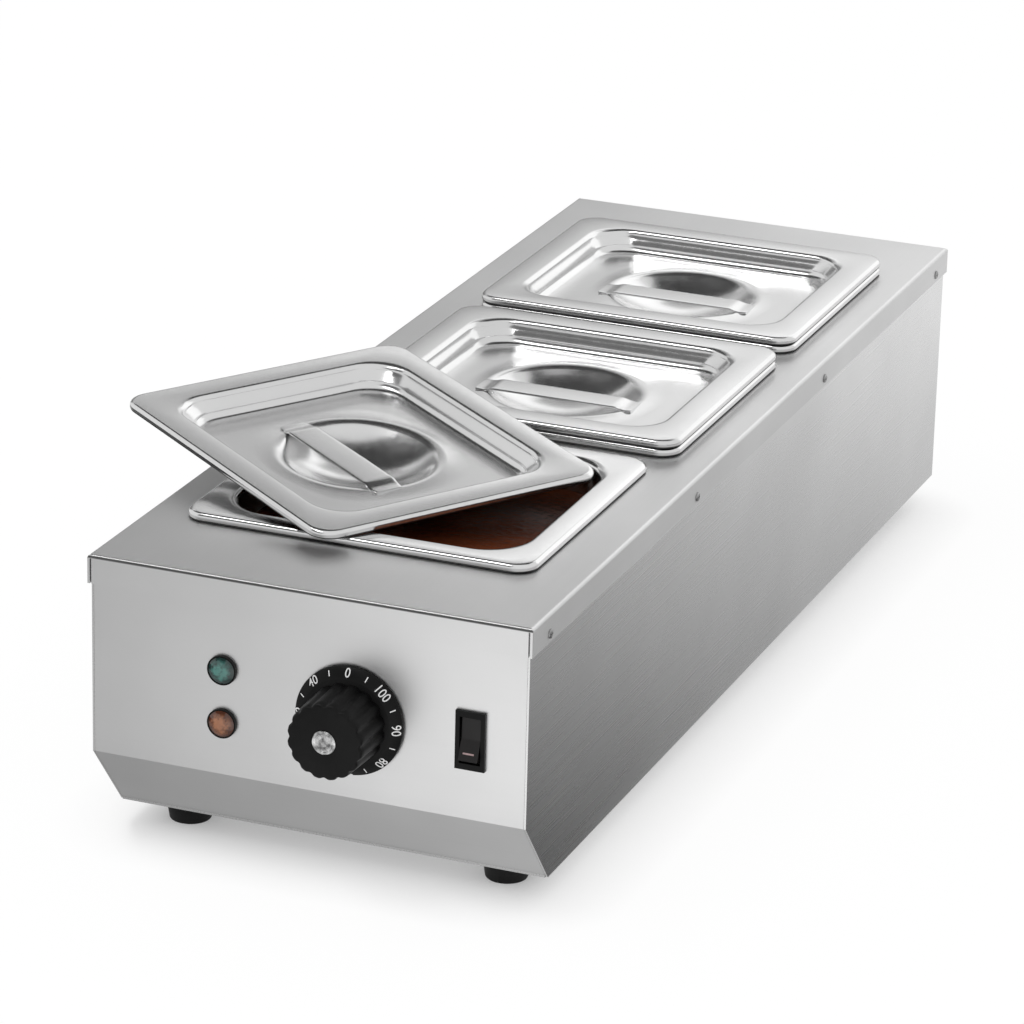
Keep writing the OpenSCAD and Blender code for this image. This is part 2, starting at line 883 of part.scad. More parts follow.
module foot_screws() {
    color("silver")
        at_feet()
            translate([0, 0, base_low - foot_h + foot_recess_h]) {
                translate([0, 0, -foot_head_h])
                    cylinder(r = foot_head_r, h = foot_head_h);
                cylinder(
                    r = foot_screw_r,
                    h = foot_h - foot_recess_h + base_sheet + sheet + nut_h + stud_tail
                );
            }
}

module foot_nuts() {
    color("silver")
        at_feet()
            translate([0, 0, base_top + sheet])
                hex_nut(nut_r, nut_h, foot_screw_r + screw_gap);
}

module heated_well() {
    turn = tank_bend_r + tank_sheet;
    color("silver")
        translate([0, row_y, cover_under]) {
            swept_round(tank_w, tank_d, tank_r)
                wall_profile(tank_r, tank_bend_r, tank_sheet, tank_h + tank_sheet, 0, tank_fillet_r);
            translate([0, 0, -tank_sheet])
                linear_extrude(tank_sheet)
                    difference() {
                        rounded_rect(
                            tank_w + 2 * tank_flange_w,
                            tank_d + 2 * tank_flange_w,
                            tank_r + tank_flange_w
                        );
                        rounded_rect(tank_w + 2 * turn, tank_d + 2 * turn, tank_r + turn);
                    }
            translate([0, 0, -tank_h - tank_sheet])
                linear_extrude(tank_sheet)
                    rounded_rect(
                        tank_w - 2 * tank_fillet_r,
                        tank_d - 2 * tank_fillet_r,
                        tank_r - tank_fillet_r
                    );
            for (y = clamp_ys)
                translate([0, y - row_y, clamp_low - nut_h - stud_tail - cover_under])
                    cylinder(r = stud_r, h = tank_low - clamp_low + nut_h + stud_tail + tank_sheet / 2);
        }
}

module heating_element() {
    front = tank_front + heater_end;
    bend = tank_back - heater_end - heater_x - heater_r;
    color("dimgray")
        translate([0, 0, heater_z]) {
            for (s = [-1, 1])
                translate([s * heater_x, bend, 0])
                    rotate([90, 0, 0]) {
                        cylinder(r = heater_r, h = bend - front);
                        cylinder(r = heater_pin_r, h = bend - front + heater_pin_l);
                    }
            translate([0, bend, 0])
                rotate_extrude(angle = 180)
                    translate([heater_x, 0])
                        circle(heater_r);
        }
}

module clamp_bars() {
    color("silver")
        for (y = clamp_ys)
            translate([0, y, clamp_low])
                difference() {
                    linear_extrude(clamp_t)
                        rounded_rect(
                            2 * (heater_x + heater_r + clamp_reach),
                            clamp_w,
                            clamp_w / 4
                        );
                    translate([0, 0, -over])
                        cylinder(r = stud_r + screw_gap, h = clamp_t + 2 * over);
                }
}

module clamp_nuts() {
    color("silver")
        for (y = clamp_ys)
            translate([0, y, clamp_low - nut_h])
                hex_nut(nut_r, nut_h, stud_r + screw_gap);
}

module thermostat_body() {
    color("ivory")
        difference() {
            union() {
                translate([knob_x, stat_front + stat_bracket_t / 2, control_height])
                    cube([stat_bracket_w, stat_bracket_t, stat_bracket_h], center = true);
                translate([knob_x, stat_front + stat_bracket_t + stat_d / 2, control_height])
                    cube([stat_w, stat_d, stat_h], center = true);
            }
            translate([knob_x, stat_front - over, control_height])
                rotate([-90, 0, 0])
                    cylinder(r = spindle_r + spindle_run, h = spindle_bore_l + 2 * over);
            for (s = [-1, 1])
                translate([knob_x + s * stat_screw_pitch / 2, stat_front - over, control_height])
                    rotate([-90, 0, 0])
                        cylinder(r = stat_screw_r + screw_gap, h = stat_screw_l + over);
        }
}

module thermostat_screws() {
    color("silver")
        for (s = [-1, 1])
            on_front(knob_x + s * stat_screw_pitch / 2, control_height) {
                cylinder(r = stat_head_r, h = stat_head_h);
                translate([0, 0, -stat_screw_l])
                    cylinder(r = stat_screw_r, h = stat_screw_l);
            }
}

module sensing_bulb() {
    color("peru")
        translate([knob_x, bulb_front, bulb_z])
            rotate([-90, 0, 0])
                cylinder(r = bulb_r, h = bulb_l);
}

// Saddle that holds the bulb under the well's floor
module bulb_clip() {
    in_r = bulb_r + clip_seat;
    out_r = in_r + clip_t;
    ear_top = tank_low - bulb_z;
    color("silver")
        translate([knob_x, bulb_front + bulb_l / 2 + clip_w / 2, bulb_z])
            rotate([90, 0, 0])
                linear_extrude(clip_w)
                    polygon(concat(
                        [[-out_r - clip_ear, ear_top], [-in_r, ear_top]],
                        arc_points([0, 0], in_r, 180, 360),
                        [
                            [in_r, ear_top],
                            [out_r + clip_ear, ear_top],
                            [out_r + clip_ear, ear_top - clip_t],
                            [out_r, ear_top - clip_t]
                        ],
                        arc_points([0, 0], out_r, 360, 180),
                        [[-out_r, ear_top - clip_t], [-out_r - clip_ear, ear_top - clip_t]]
                    ));
}

module capillary_tube() {
    color("peru")
        tube_through([
            [knob_x, bulb_front, bulb_z],
            [knob_x, capillary_y, bulb_z],
            [knob_x, capillary_y, control_height],
            [knob_x, stat_back, control_height]
        ], capillary_r);
}

module thermostat_spindle() {
    back = sheet + spindle_bore_l;
    long = back + dial_front + spindle_grip_l;
    color("silver")
        on_front(knob_x, control_height)
            translate([0, 0, -back])
                difference() {
                    cylinder(r = spindle_r, h = long);
                    translate([-spindle_r, spindle_r - spindle_flat, back + dial_gap])
                        cube([2 * spindle_r, spindle_r, long]);
                }
}

// The D-shaped hole for the spindle
module spindle_socket(h) {
    linear_extrude(h)
        difference() {
            circle(spindle_r + knob_fit);
            translate([-2 * spindle_r, spindle_r - spindle_flat + knob_fit])
                square([4 * spindle_r, spindle_r]);
        }
}

module dial_ring() {
    color(dark)
        on_front(knob_x, control_height)
            translate([0, 0, dial_gap])
                difference() {
                    rotate_extrude()
                        polygon([
                            [0, 0],
                            [dial_r, 0],
                            [dial_r, dial_rim_t],
                            [dial_r - dial_bevel_w, dial_t],
                            [0, dial_t]
                        ]);
                    translate([0, 0, -over])
                        cylinder(r = dial_recess_r, h = dial_recess_h + over);
                    spindle_socket(dial_t + over);
                }
}

module knob_grip() {
    color(dark)
        on_front(knob_x, control_height)
            translate([0, 0, dial_front])
                difference() {
                    cylinder(r1 = grip_r, r2 = grip_front_r, h = grip_l);
                    for (i = [0 : flute_count - 1])
                        rotate(360 * i / flute_count)
                            translate([grip_r + flute_r - flute_h, 0, -over])
                                cylinder(r = flute_r, h = grip_l + 2 * over);
                    translate([0, 0, -over])
                        spindle_socket(spindle_grip_l + 2 * over);
                    translate([0, 0, grip_l - cap_seat_h])
                        cylinder(r = cap_r + knob_fit, h = cap_seat_h + over);
                }
}

module knob_cap() {
    color("silver")
        on_front(knob_x, control_height)
            translate([0, 0, grip_front - cap_seat_h])
                cylinder(r = cap_r, h = cap_t);
}

// A lamp's lens: a short drum with a domed face
module lamp_lens(height) {
    ball_r = (lens_r * lens_r + dome_h * dome_h) / (2 * dome_h);
    on_front(lamp_x, height)
        intersection() {
            translate([0, 0, bezel_t - lens_seat_l])
                cylinder(r = lens_r, h = lens_seat_l + dome_h);
            translate([0, 0, bezel_t + dome_h - ball_r])
                sphere(ball_r);
        }
}

module green_lens() {
    color("seagreen")
        lamp_lens(control_height + lamp_rise);
}

module amber_lens() {
    color("darkorange")
        lamp_lens(control_height - lamp_rise);
}

module lamp_bodies() {
    color(dark)
        for (s = [-1, 1])
            on_front(lamp_x, control_height + s * lamp_rise)
                difference() {
                    union() {
                        cylinder(r = bezel_r, h = bezel_t);
                        translate([0, 0, -sheet - lamp_body_l])
                            cylinder(r = lamp_body_r, h = sheet + lamp_body_l);
                    }
                    translate([0, 0, bezel_t - lens_seat_l])
                        cylinder(r = lens_r + lamp_fit, h = lens_seat_l + over);
                }
}

module lamp_nuts() {
    color("silver")
        for (s = [-1, 1])
            on_front(lamp_x, control_height + s * lamp_rise)
                translate([0, 0, -sheet - lamp_nut_h])
                    hex_nut(lamp_nut_r, lamp_nut_h, lamp_body_r + lamp_fit);
}

module switch_housing() {
    room_w = rocker_w + 2 * rocker_gap;
    room_h = 2 * (rocker_r + rocker_gap);
    room_d = rocker_pivot + rocker_back + rocker_r * sin(rocker_tilt) + rocker_gap;
    color(dark)
        on_front(switch_x, control_height)
            difference() {
                union() {
                    linear_extrude(switch_t)
                        square([switch_w, switch_h], center = true);
                    translate([0, 0, -switch_body_d])
                        linear_extrude(switch_body_d)
                            square([switch_body_w, switch_body_h], center = true);
                }
                translate([0, 0, -room_d])
                    linear_extrude(room_d + switch_t + over)
                        square([room_w, room_h], center = true);
                translate([0, 0, -rocker_pivot])
                    rotate([0, 90, 0])
                        cylinder(r = pin_r + pin_run, h = switch_body_w + 2 * over, center = true);
            }
}

module switch_tabs() {
    color("silver")
        for (i = [0 : tab_count - 1])
            translate([
                switch_x,
                switch_back + tab_l / 2,
                control_height + (i - (tab_count - 1) / 2) * tab_pitch
            ])
                cube([tab_w, tab_l, tab_t], center = true);
}

// The rocker from the side, with its pin at the centre and its face to the right
module rocker_profile() {
    intersection() {
        circle(rocker_r);
        polygon([
            [-rocker_back, -rocker_r],
            [rocker_tip, -rocker_r],
            [rocker_mid, 0],
            [rocker_tip, rocker_r],
            [-rocker_back, rocker_r]
        ]);
    }
}

module switch_rocker() {
    color(dark)
        on_front(switch_x, control_height)
            translate([0, 0, -rocker_pivot])
                rotate([-rocker_tilt, 0, 0])
                    rotate([0, -90, 0])
                        linear_extrude(rocker_w, center = true)
                            difference() {
                                rocker_profile();
                                circle(pin_r + pin_run);
                            }
}

module rocker_pin() {
    color("silver")
        on_front(switch_x, control_height)
            translate([0, 0, -rocker_pivot])
                rotate([0, 90, 0])
                    cylinder(r = pin_r, h = switch_body_w, center = true);
}

// Places what sits on the back panel: local Z points backwards out of the panel
module on_back() {
    translate([gland_x, half_l, gland_height])
        rotate([-90, 0, 0])
            children();
}

module cable_gland() {
    color(dark)
        on_back()
            difference() {
                union() {
                    cylinder(r = gland_hex_r, h = gland_hex_t, $fn = 6);
                    translate([0, 0, -sheet - gland_sleeve_l])
                        cylinder(r = gland_r, h = sheet + 2 * gland_sleeve_l + gland_hex_t);
                }
                translate([0, 0, -sheet - gland_sleeve_l - over])
                    cylinder(r = cable_r, h = sheet + 2 * gland_sleeve_l + gland_hex_t + 2 * over);
            }
}

module gland_cap() {
    inside = gland_sleeve_l + gland_fit;
    color(dark)
        on_back()
            translate([0, 0, gland_hex_t])
                rotate_extrude()
                    polygon(concat(
                        [
                            [gland_r + gland_fit, 0],
                            [gland_cap_r, 0]
                        ],
                        arc_points(
                            [gland_cap_r - gland_nose_r, gland_cap_l - gland_nose_r],
                            gland_nose_r, 0, 90
                        ),
                        [
                            [cable_r, gland_cap_l],
                            [cable_r, inside],
                            [gland_r + gland_fit, inside]
                        ]
                    ));
}

module gland_nut() {
    color(dark)
        on_back()
            translate([0, 0, -sheet - gland_nut_t])
                hex_nut(gland_hex_r, gland_nut_t, gland_r + gland_fit);
}

module terminal_block() {
    color("ivory")
        translate([0, block_y, base_top])
            difference() {
                translate([-block_w / 2, 0, 0])
                    cube([block_w, block_d, block_h]);
                for (i = [0 : block_ways - 1])
                    translate([
                        (i - (block_ways - 1) / 2) * block_w / block_ways,
                        block_d / 2,
                        block_h - block_hole_h
                    ])
                        cylinder(r = block_hole_r, h = block_hole_h + over);
            }
}

module wiring_loom() {
    back_y = block_y + block_d / 2;
    front_y = switch_back + tab_l + loom_r;
    top = control_height - tab_pitch * (tab_count - 1) / 2;
    color("dimgray")
        tube_through([
            [block_w / 2 + loom_end_gap, back_y, loom_height],
            [loom_x, back_y, loom_height],
            [loom_x, front_y, loom_height],
            [loom_x, front_y, top],
            [switch_x, front_y, top]
        ], loom_r);
}

// One drawn pan with its rim's top at height zero
module pan_shape() {
    turn = mouth_bend_r + pan_sheet;
    drop = pan_taper + pan_fillet_r;
    swept_round(pan_w, pan_d, rim_r)
        lip_profile(rim_r, rim_bend_r, pan_sheet, rim_h);
    translate([0, 0, -pan_sheet])
        linear_extrude(pan_sheet)
            difference() {
                rounded_rect(pan_w - 2 * rim_bend_r, pan_d - 2 * rim_bend_r, rim_r - rim_bend_r);
                rounded_rect(mouth_w + 2 * turn, mouth_d + 2 * turn, mouth_r + turn);
            }
    swept_round(mouth_w, mouth_d, mouth_r)
        wall_profile(mouth_r, mouth_bend_r, pan_sheet, pan_depth, pan_taper, pan_fillet_r);
    translate([0, 0, -pan_depth])
        linear_extrude(pan_sheet)
            rounded_rect(mouth_w - 2 * drop, mouth_d - 2 * drop, mouth_r - drop);
}

// Places what belongs to a pan, with its rim's top at height zero
module at_pan(i) {
    translate([pan_slips[i], pan_ys[i], rim_top])
        children();
}

module pan(i) {
    color(bright)
        at_pan(i)
            pan_shape();
}

module pan_1() {
    pan(0);
}

module pan_2() {
    pan(1);
}

module pan_3() {
    pan(2);
}

// The chocolate in the first pan, a gap away from the steel
module chocolate() {
    turn = mouth_bend_r + pan_sheet;
    wall_h = pan_depth - pan_sheet - pan_fillet_r - turn;
    low_r = mouth_r - pan_taper - choc_gap;
    low = [low_r - pan_fillet_r, pan_sheet + choc_gap + pan_fillet_r - pan_depth];
    top_r = mouth_r - pan_taper * (choc_drop - turn) / wall_h - choc_gap;
    color("saddlebrown")
        at_pan(0) {
            swept_round(mouth_w, mouth_d, mouth_r)
                polygon(concat(
                    [[0, -choc_drop], [0, low[1] - pan_fillet_r]],
                    arc_points(low, pan_fillet_r, -90, 0),
                    [[top_r, -choc_drop]]
                ));
            translate([0, 0, low[1] - pan_fillet_r])
                linear_extrude(pan_depth - pan_sheet - choc_gap - choc_drop)
                    square([mouth_w - 2 * mouth_r, mouth_d - 2 * mouth_r], center = true);
        }
}

// One pressed lid with its flange's top at height zero
module lid_shape() {
    turn = well_bend_r + lid_sheet;
    drop = well_taper + well_fillet_r;
    swept_round(lid_w, lid_d, lid_r)
        lip_profile(lid_r, lid_bend_r, lid_sheet, lid_lip_h);
    translate([0, 0, -lid_sheet])
        linear_extrude(lid_sheet)
            difference() {
                rounded_rect(lid_w - 2 * lid_bend_r, lid_d - 2 * lid_bend_r, lid_r - lid_bend_r);
                rounded_rect(well_w + 2 * turn, well_d + 2 * turn, well_r + turn);
            }
    swept_round(well_w, well_d, well_r)
        wall_profile(well_r, well_bend_r, lid_sheet, well_h + lid_sheet, well_taper, well_fillet_r);
    translate([0, 0, -well_h - lid_sheet])
        linear_extrude(lid_sheet)
            difference() {
                rounded_rect(well_w - 2 * drop, well_d - 2 * drop, well_r - drop);
                circle(dish_r);
            }
    translate([0, 0, -well_h])
        dish();
}

// The round dish, a shallow bowl of even sheet, with its edge at height zero
module dish() {
    ball_r = (dish_r * dish_r + dish_h * dish_h) / (2 * dish_h);
    out_r = ball_r + lid_sheet;
    centre = [0, ball_r - dish_h];
    rotate_extrude()
        polygon(concat(
            arc_points(centre, ball_r, asin(dish_r / ball_r) - 90, -90),
            arc_points(centre, out_r, -90, asin(dish_r / out_r) - 90)
        ));
}

// The strap handle across the dish, standing on the well's floor
module strap_shape() {
    half = dish_r + strap_tab;
    inner = half - strap_tab - strap_bend_l;
    low = [
        [-half, 0],
        [strap_tab - half, 0],
        [-inner, strap_rise],
        [inner, strap_rise],
        [half - strap_tab, 0],
        [half, 0]
    ];
    high = [for (i = [len(low) - 1 : -1 : 0]) low[i] + [0, strap_t]];
    translate([0, strap_w / 2 - strap_fore, strap_seat - well_h])
        rotate([90, 0, 0])
            linear_extrude(strap_w)
                polygon(concat(low, high));
}

// Places what belongs to a lid: the first lies askew on its pan, the others are closed
module at_lid(i) {
    at_pan(i)
        if (i == 0)
            translate([askew_x, askew_y, askew_z])
                rotate([askew_pitch, askew_roll, 0])
                    rotate(askew_turn)
                        children();
        else
            translate([0, 0, lid_top - rim_top])
                children();
}

module lid(i) {
    color(steel)
        at_lid(i)
            lid_shape();
}

module lid_handle(i) {
    color("silver")
        at_lid(i)
            strap_shape();
}

module lid_1() {
    lid(0);
}

module lid_2() {
    lid(1);
}

module lid_3() {
    lid(2);
}

module lid_handle_1() {
    lid_handle(0);
}

module lid_handle_2() {
    lid_handle(1);
}

module lid_handle_3() {
    lid_handle(2);
}

top_cover();
front_panel();
left_side_panel();
right_side_panel();
back_panel();
base_plate();
rubber_feet();
foot_screws();
foot_nuts();
cover_screws();
heated_well();
heating_element();
clamp_bars();
clamp_nuts();
thermostat_body();
thermostat_screws();
sensing_bulb();
bulb_clip();
capillary_tube();
thermostat_spindle();
dial_ring();
knob_grip();
knob_cap();
green_lens();
amber_lens();
lamp_bodies();
lamp_nuts();
switch_housing();
switch_tabs();
switch_rocker();
rocker_pin();
cable_gland();
gland_cap();
gland_nut();
terminal_block();
wiring_loom();
pan_1();
pan_2();
pan_3();
chocolate();
lid_1();
lid_2();
lid_3();
lid_handle_1();
lid_handle_2();
lid_handle_3();
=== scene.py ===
import json
import math

import bpy
import numpy as np
from mathutils import Matrix, Vector

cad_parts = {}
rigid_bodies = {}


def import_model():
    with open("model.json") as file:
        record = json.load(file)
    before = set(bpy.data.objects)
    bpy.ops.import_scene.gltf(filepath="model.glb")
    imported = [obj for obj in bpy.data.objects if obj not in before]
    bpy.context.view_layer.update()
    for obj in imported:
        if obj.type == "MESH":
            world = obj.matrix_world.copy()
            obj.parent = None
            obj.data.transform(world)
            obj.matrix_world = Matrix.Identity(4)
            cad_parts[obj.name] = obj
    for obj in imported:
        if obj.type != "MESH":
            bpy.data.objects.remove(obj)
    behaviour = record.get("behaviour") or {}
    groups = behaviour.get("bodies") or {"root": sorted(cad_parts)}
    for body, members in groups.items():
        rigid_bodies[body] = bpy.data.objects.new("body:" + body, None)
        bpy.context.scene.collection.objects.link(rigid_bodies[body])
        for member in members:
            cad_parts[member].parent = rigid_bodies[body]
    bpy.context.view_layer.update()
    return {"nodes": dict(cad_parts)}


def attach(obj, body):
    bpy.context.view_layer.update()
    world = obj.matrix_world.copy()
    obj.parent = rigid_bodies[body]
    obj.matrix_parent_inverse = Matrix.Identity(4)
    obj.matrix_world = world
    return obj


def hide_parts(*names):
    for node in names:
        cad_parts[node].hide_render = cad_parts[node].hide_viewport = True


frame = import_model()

# Sizes in millimetres, in the part's own frame
MM = 0.001
FLOOR_Z = -13.5
FACE_Y = -313.5
RIM_TOP = 136.8
LID_TOP = 141.1
CONTROL_Z = 73.5
KNOB_X = 22.0
LAMP_X, LAMP_RISE = -42.0, 13.2
SWITCH_X = 81.0
PAN_PLACES = {"front": (-3.0, -174.0), "middle": (3.0, 2.0), "back": (3.0, 178.0)}
PAN_W, PAN_D, PAN_CORNER = 176.0, 162.0, 11.0
SHEET_T = 0.8

# The front lid's place over its pan: degrees about Z, X and Y, then millimetres
ASKEW_TURN, ASKEW_PITCH, ASKEW_ROLL = -32.5, 2.8, 4.4
ASKEW_SHIFT = (-41.0, 22.0, 12.25)


# Camera

CAMERA_PLACE = (0.8340, -2.2094, 0.9428)
CAMERA_AZIMUTH, CAMERA_ELEVATION, CAMERA_ROLL = 21.216, 20.413, 1.422
CAMERA_LENS, CAMERA_SENSOR = 172.93, 36


def place_camera():
    """Camera from azimuth, elevation and roll: forward = (-sin a cos e, cos a cos e, -sin e), and
    the right and up vectors are turned about it by the roll."""
    az, el, roll = (math.radians(v) for v in (CAMERA_AZIMUTH, CAMERA_ELEVATION, CAMERA_ROLL))
    forward = Vector((-math.sin(az) * math.cos(el), math.cos(az) * math.cos(el), -math.sin(el)))
    level = Vector((math.cos(az), math.sin(az), 0))
    upright = level.cross(forward)
    right = level * math.cos(roll) + upright * math.sin(roll)
    up = upright * math.cos(roll) - level * math.sin(roll)
    data = bpy.data.cameras.new("studio_camera")
    data.sensor_width = CAMERA_SENSOR
    data.lens = CAMERA_LENS
    data.clip_end = 50
    camera = bpy.data.objects.new("studio_camera", data)
    bpy.context.scene.collection.objects.link(camera)
    turn = Matrix((right, up, -forward)).transposed().to_4x4()
    camera.matrix_world = Matrix.Translation(CAMERA_PLACE) @ turn
    bpy.context.scene.camera = camera


# Surfaces

def grid_faces(rows, cols, start=0):
    """Quads of a grid whose columns close on themselves: vertex (i, j) is start + i * cols + j."""
    i, j = np.meshgrid(np.arange(rows - 1), np.arange(cols), indexing="ij")
    k = (j + 1) % cols
    quads = np.stack([i * cols + j, i * cols + k, (i + 1) * cols + k, (i + 1) * cols + j], -1)
    return (quads.reshape(-1, 4) + start).tolist()


def fan_faces(first, cols, pole, flip=False):
    """Triangles from a ring of vertices to a pole."""
    j = np.arange(cols)
    ring = np.stack([first + j, first + (j + 1) % cols, np.full(cols, pole)], -1)
    return (ring[:, ::-1] if flip else ring).tolist()


def capped(P, first, last):
    """A closed solid from a grid of rings and the poles that close its first and last ring."""
    n, m = P.shape[:2]
    verts = np.concatenate([P.reshape(-1, 3), [first, last]])
    faces = grid_faces(n, m) + fan_faces(0, m, n * m, True)
    return verts, faces + fan_faces((n - 1) * m, m, n * m + 1)


def inside_out(verts, faces):
    """The same solid with its faces turned round."""
    return verts, [face[::-1] for face in faces]


def full_turn(steps):
    """Angles once round, without the last, which is the first again."""
    return np.linspace(0, 2 * np.pi, steps, endpoint=False)


def round_rings(radius, height, t):
    """A grid of points (r cos t, r sin t, z), with a row for each radius and height."""
    r, z, angle = np.broadcast_arrays(radius, height, t)
    return np.stack([r * np.cos(angle), r * np.sin(angle), z], -1)


def level_ring(ring, height):
    """Points of a flat ring, all at one height."""
    return np.column_stack([ring, np.full(len(ring), height)])


def rounded_ring(w, d, r, arc=12, side=10):
    """Points round a rounded rectangle, counterclockwise: each corner's arc, then a straight side."""
    turn = np.linspace(0, np.pi / 2, arc)
    corners = []
    for k, (sx, sy) in enumerate(((1, 1), (-1, 1), (-1, -1), (1, -1))):
        centre = np.array([sx * (w / 2 - r), sy * (d / 2 - r)])
        angle = turn + k * np.pi / 2
        corners.append(centre + r * np.stack([np.cos(angle), np.sin(angle)], -1))
    share = np.linspace(0, 1, side + 2)[1:-1, None]
    full = []
    for k, corner in enumerate(corners):
        full += [corner, corner[-1] * (1 - share) + corners[(k + 1) % 4][0] * share]
    return np.concatenate(full)


def arc(centre, r, start, end, steps=8):
    """Points (inset, height) on an arc: centre + r (cos t, sin t)."""
    t = np.radians(np.linspace(start, end, steps))
    return [(centre[0] + r * math.cos(a), centre[1] + r * math.sin(a)) for a in t]


def between(start, end, near, far):
    """A function that goes straight from start at near to end at far, and stays level outside."""
    return lambda s: float(np.interp(s, [near, far], [start, end]))


def inset_rows(section, corner):
    """Rings for a section of (inset, height) points: the pan's outline shrinks by the inset on every
    side, and corner(inset) is its corner radius."""
    return [
        level_ring(rounded_ring(PAN_W - 2 * s, PAN_D - 2 * s, corner(s)), h) for s, h in section
    ]


def sheet_shell(rows, pole, thickness):
    """A closed sheet below a grid of rings: the underside is P - thickness * N, where N is the cross
    product of the steps along a ring and from ring to ring. Both sides end in a pole."""
    P = np.stack(rows)
    along = np.roll(P, -1, 1) - np.roll(P, 1, 1)
    across = np.gradient(P, axis=0)
    normal = np.cross(along, across)
    normal /= np.linalg.norm(normal, axis=2, keepdims=True)
    Q = P - thickness * normal
    n, m = P.shape[:2]
    verts = np.concatenate([P.reshape(-1, 3), Q.reshape(-1, 3), [pole, pole - [0, 0, thickness]]])
    faces = grid_faces(n, m) + [f[::-1] for f in grid_faces(n, m, n * m)]
    faces += fan_faces((n - 1) * m, m, 2 * n * m)
    faces += fan_faces((2 * n - 1) * m, m, 2 * n * m + 1, True)
    j = np.arange(m)
    k = (j + 1) % m
    faces += np.stack([j, n * m + j, n * m + k, k], -1).tolist()
    return verts, faces


def lathe(profile, cols=64):
    """A turned solid from (radius, height) points that run from one pole to the other: each point
    is (r cos t, r sin t, z)."""
    ring = np.array(profile[1:-1])
    P = round_rings(ring[:, :1], ring[:, 1:], full_turn(cols))
    return capped(P, [0, 0, profile[0][1]], [0, 0, profile[-1][1]])


def joined(parts):
    """Several (vertices, faces) pairs as one pair."""
    verts, faces, start = [], [], 0
    for v, f in parts:
        verts.append(v)
        faces += [[k + start for k in face] for face in f]
        start += len(v)
    return np.concatenate(verts), faces


def on_front(verts, x, z):
    """Turns local (right, up, forward) to the part's frame on the front face."""
    return np.column_stack([x + verts[:, 0], FACE_Y - verts[:, 2], z + verts[:, 1]])


def turned(verts, axis, degrees):
    """Turns vertices about a coordinate axis through the origin, by the right-hand rule."""
    return verts @ np.array(Matrix.Rotation(math.radians(degrees), 3, axis)).T


def piece(name, verts, faces, material, body, nodes=(), sharp=32, edge=None):
    """A mesh object in metres from millimetre vertices, shaded smooth below the sharp angle. With
    edge, a finish and a number of faces, that many faces at the start get that finish."""
    mesh = bpy.data.meshes.new(name)
    mesh.from_pydata((np.asarray(verts) * MM).tolist(), [], faces)
    mesh.polygons.foreach_set("use_smooth", np.ones(len(mesh.polygons), bool))
    mesh.set_sharp_from_angle(angle=math.radians(sharp))
    mesh.materials.append(material)
    if edge:
        mesh.materials.append(edge[0])
        mesh.polygons.foreach_set("material_index", (np.arange(len(faces)) < edge[1]).astype(int))
    obj = bpy.data.objects.new(name, mesh)
    bpy.context.scene.collection.objects.link(obj)
    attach(obj, body)
    if nodes:
        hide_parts(*nodes)


# Finishes

def grey(level):
    """A neutral colour."""
    return level, level, level


def finish(name, colour, roughness, metallic=0.0):
    """A new material with its shader's plain values, its node tree and the shader."""
    material = bpy.data.materials.new(name)
    material.use_nodes = True
    tree = material.node_tree
    shader = tree.nodes["Principled BSDF"]
    shader.inputs["Base Color"].default_value = (*colour, 1)
    shader.inputs["Roughness"].default_value = roughness
    shader.inputs["Metallic"].default_value = metallic
    return material, tree, shader


def own_place(tree):
    """The piece's own coordinates."""
    return tree.nodes.new("ShaderNodeTexCoord").outputs["Object"]


def own_axes(tree):
    """The piece's own X, Y and Z."""
    split = tree.nodes.new("ShaderNodeSeparateXYZ")
    tree.links.new(own_place(tree), split.inputs["Vector"])
    return split.outputs


def combined(tree, operation, a, b):
    """Two values put together by a Math node."""
    node = tree.nodes.new("ShaderNodeMath")
    node.operation = operation
    tree.links.new(a, node.inputs[0])
    tree.links.new(b, node.inputs[1])
    return node.outputs["Value"]


def vector_step(tree, operation, source, value=None):
    """One Vector Math node on a source and a fixed vector."""
    node = tree.nodes.new("ShaderNodeVectorMath")
    node.operation = operation
    tree.links.new(source, node.inputs[0])
    if value is not None:
        node.inputs[1].default_value = value
    single = operation in ("DISTANCE", "DOT_PRODUCT", "LENGTH")
    return node.outputs["Value" if single else "Vector"]


def noise(tree, scale, detail):
    """Noise on the piece's own coordinates, with a scale for each axis in cycles a metre."""
    mapping = tree.nodes.new("ShaderNodeMapping")
    mapping.inputs["Scale"].default_value = scale
    texture = tree.nodes.new("ShaderNodeTexNoise")
    texture.inputs["Scale"].default_value = 1.0
    texture.inputs["Detail"].default_value = detail
    tree.links.new(own_place(tree), mapping.inputs["Vector"])
    tree.links.new(mapping.outputs["Vector"], texture.inputs["Vector"])
    return texture.outputs["Fac"]


def spread(tree, value, low, high, near=0.3, far=0.7):
    """Carries a pattern's range from near to far onto the range from low to high."""
    node = tree.nodes.new("ShaderNodeMapRange")
    node.inputs["From Min"].default_value = near
    node.inputs["From Max"].default_value = far
    node.inputs["To Min"].default_value = low
    node.inputs["To Max"].default_value = high
    tree.links.new(value, node.inputs["Value"])
    return node.outputs["Result"]


def bump(tree, shader, value, strength, depth):
    """Bump from a pattern, with its depth in metres."""
    node = tree.nodes.new("ShaderNodeBump")
    node.inputs["Strength"].default_value = strength
    node.inputs["Distance"].default_value = depth
    tree.links.new(value, node.inputs["Height"])
    tree.links.new(node.outputs["Normal"], shader.inputs["Normal"])


def colour_mix(tree, factor, first, second):
    """A Mix node between two colours, led by a factor."""
    mix = tree.nodes.new("ShaderNodeMix")
    mix.data_type = "RGBA"
    mix.inputs["A"].default_value = (*first, 1)
    mix.inputs["B"].default_value = (*second, 1)
    tree.links.new(factor, mix.inputs["Factor"])
    return mix


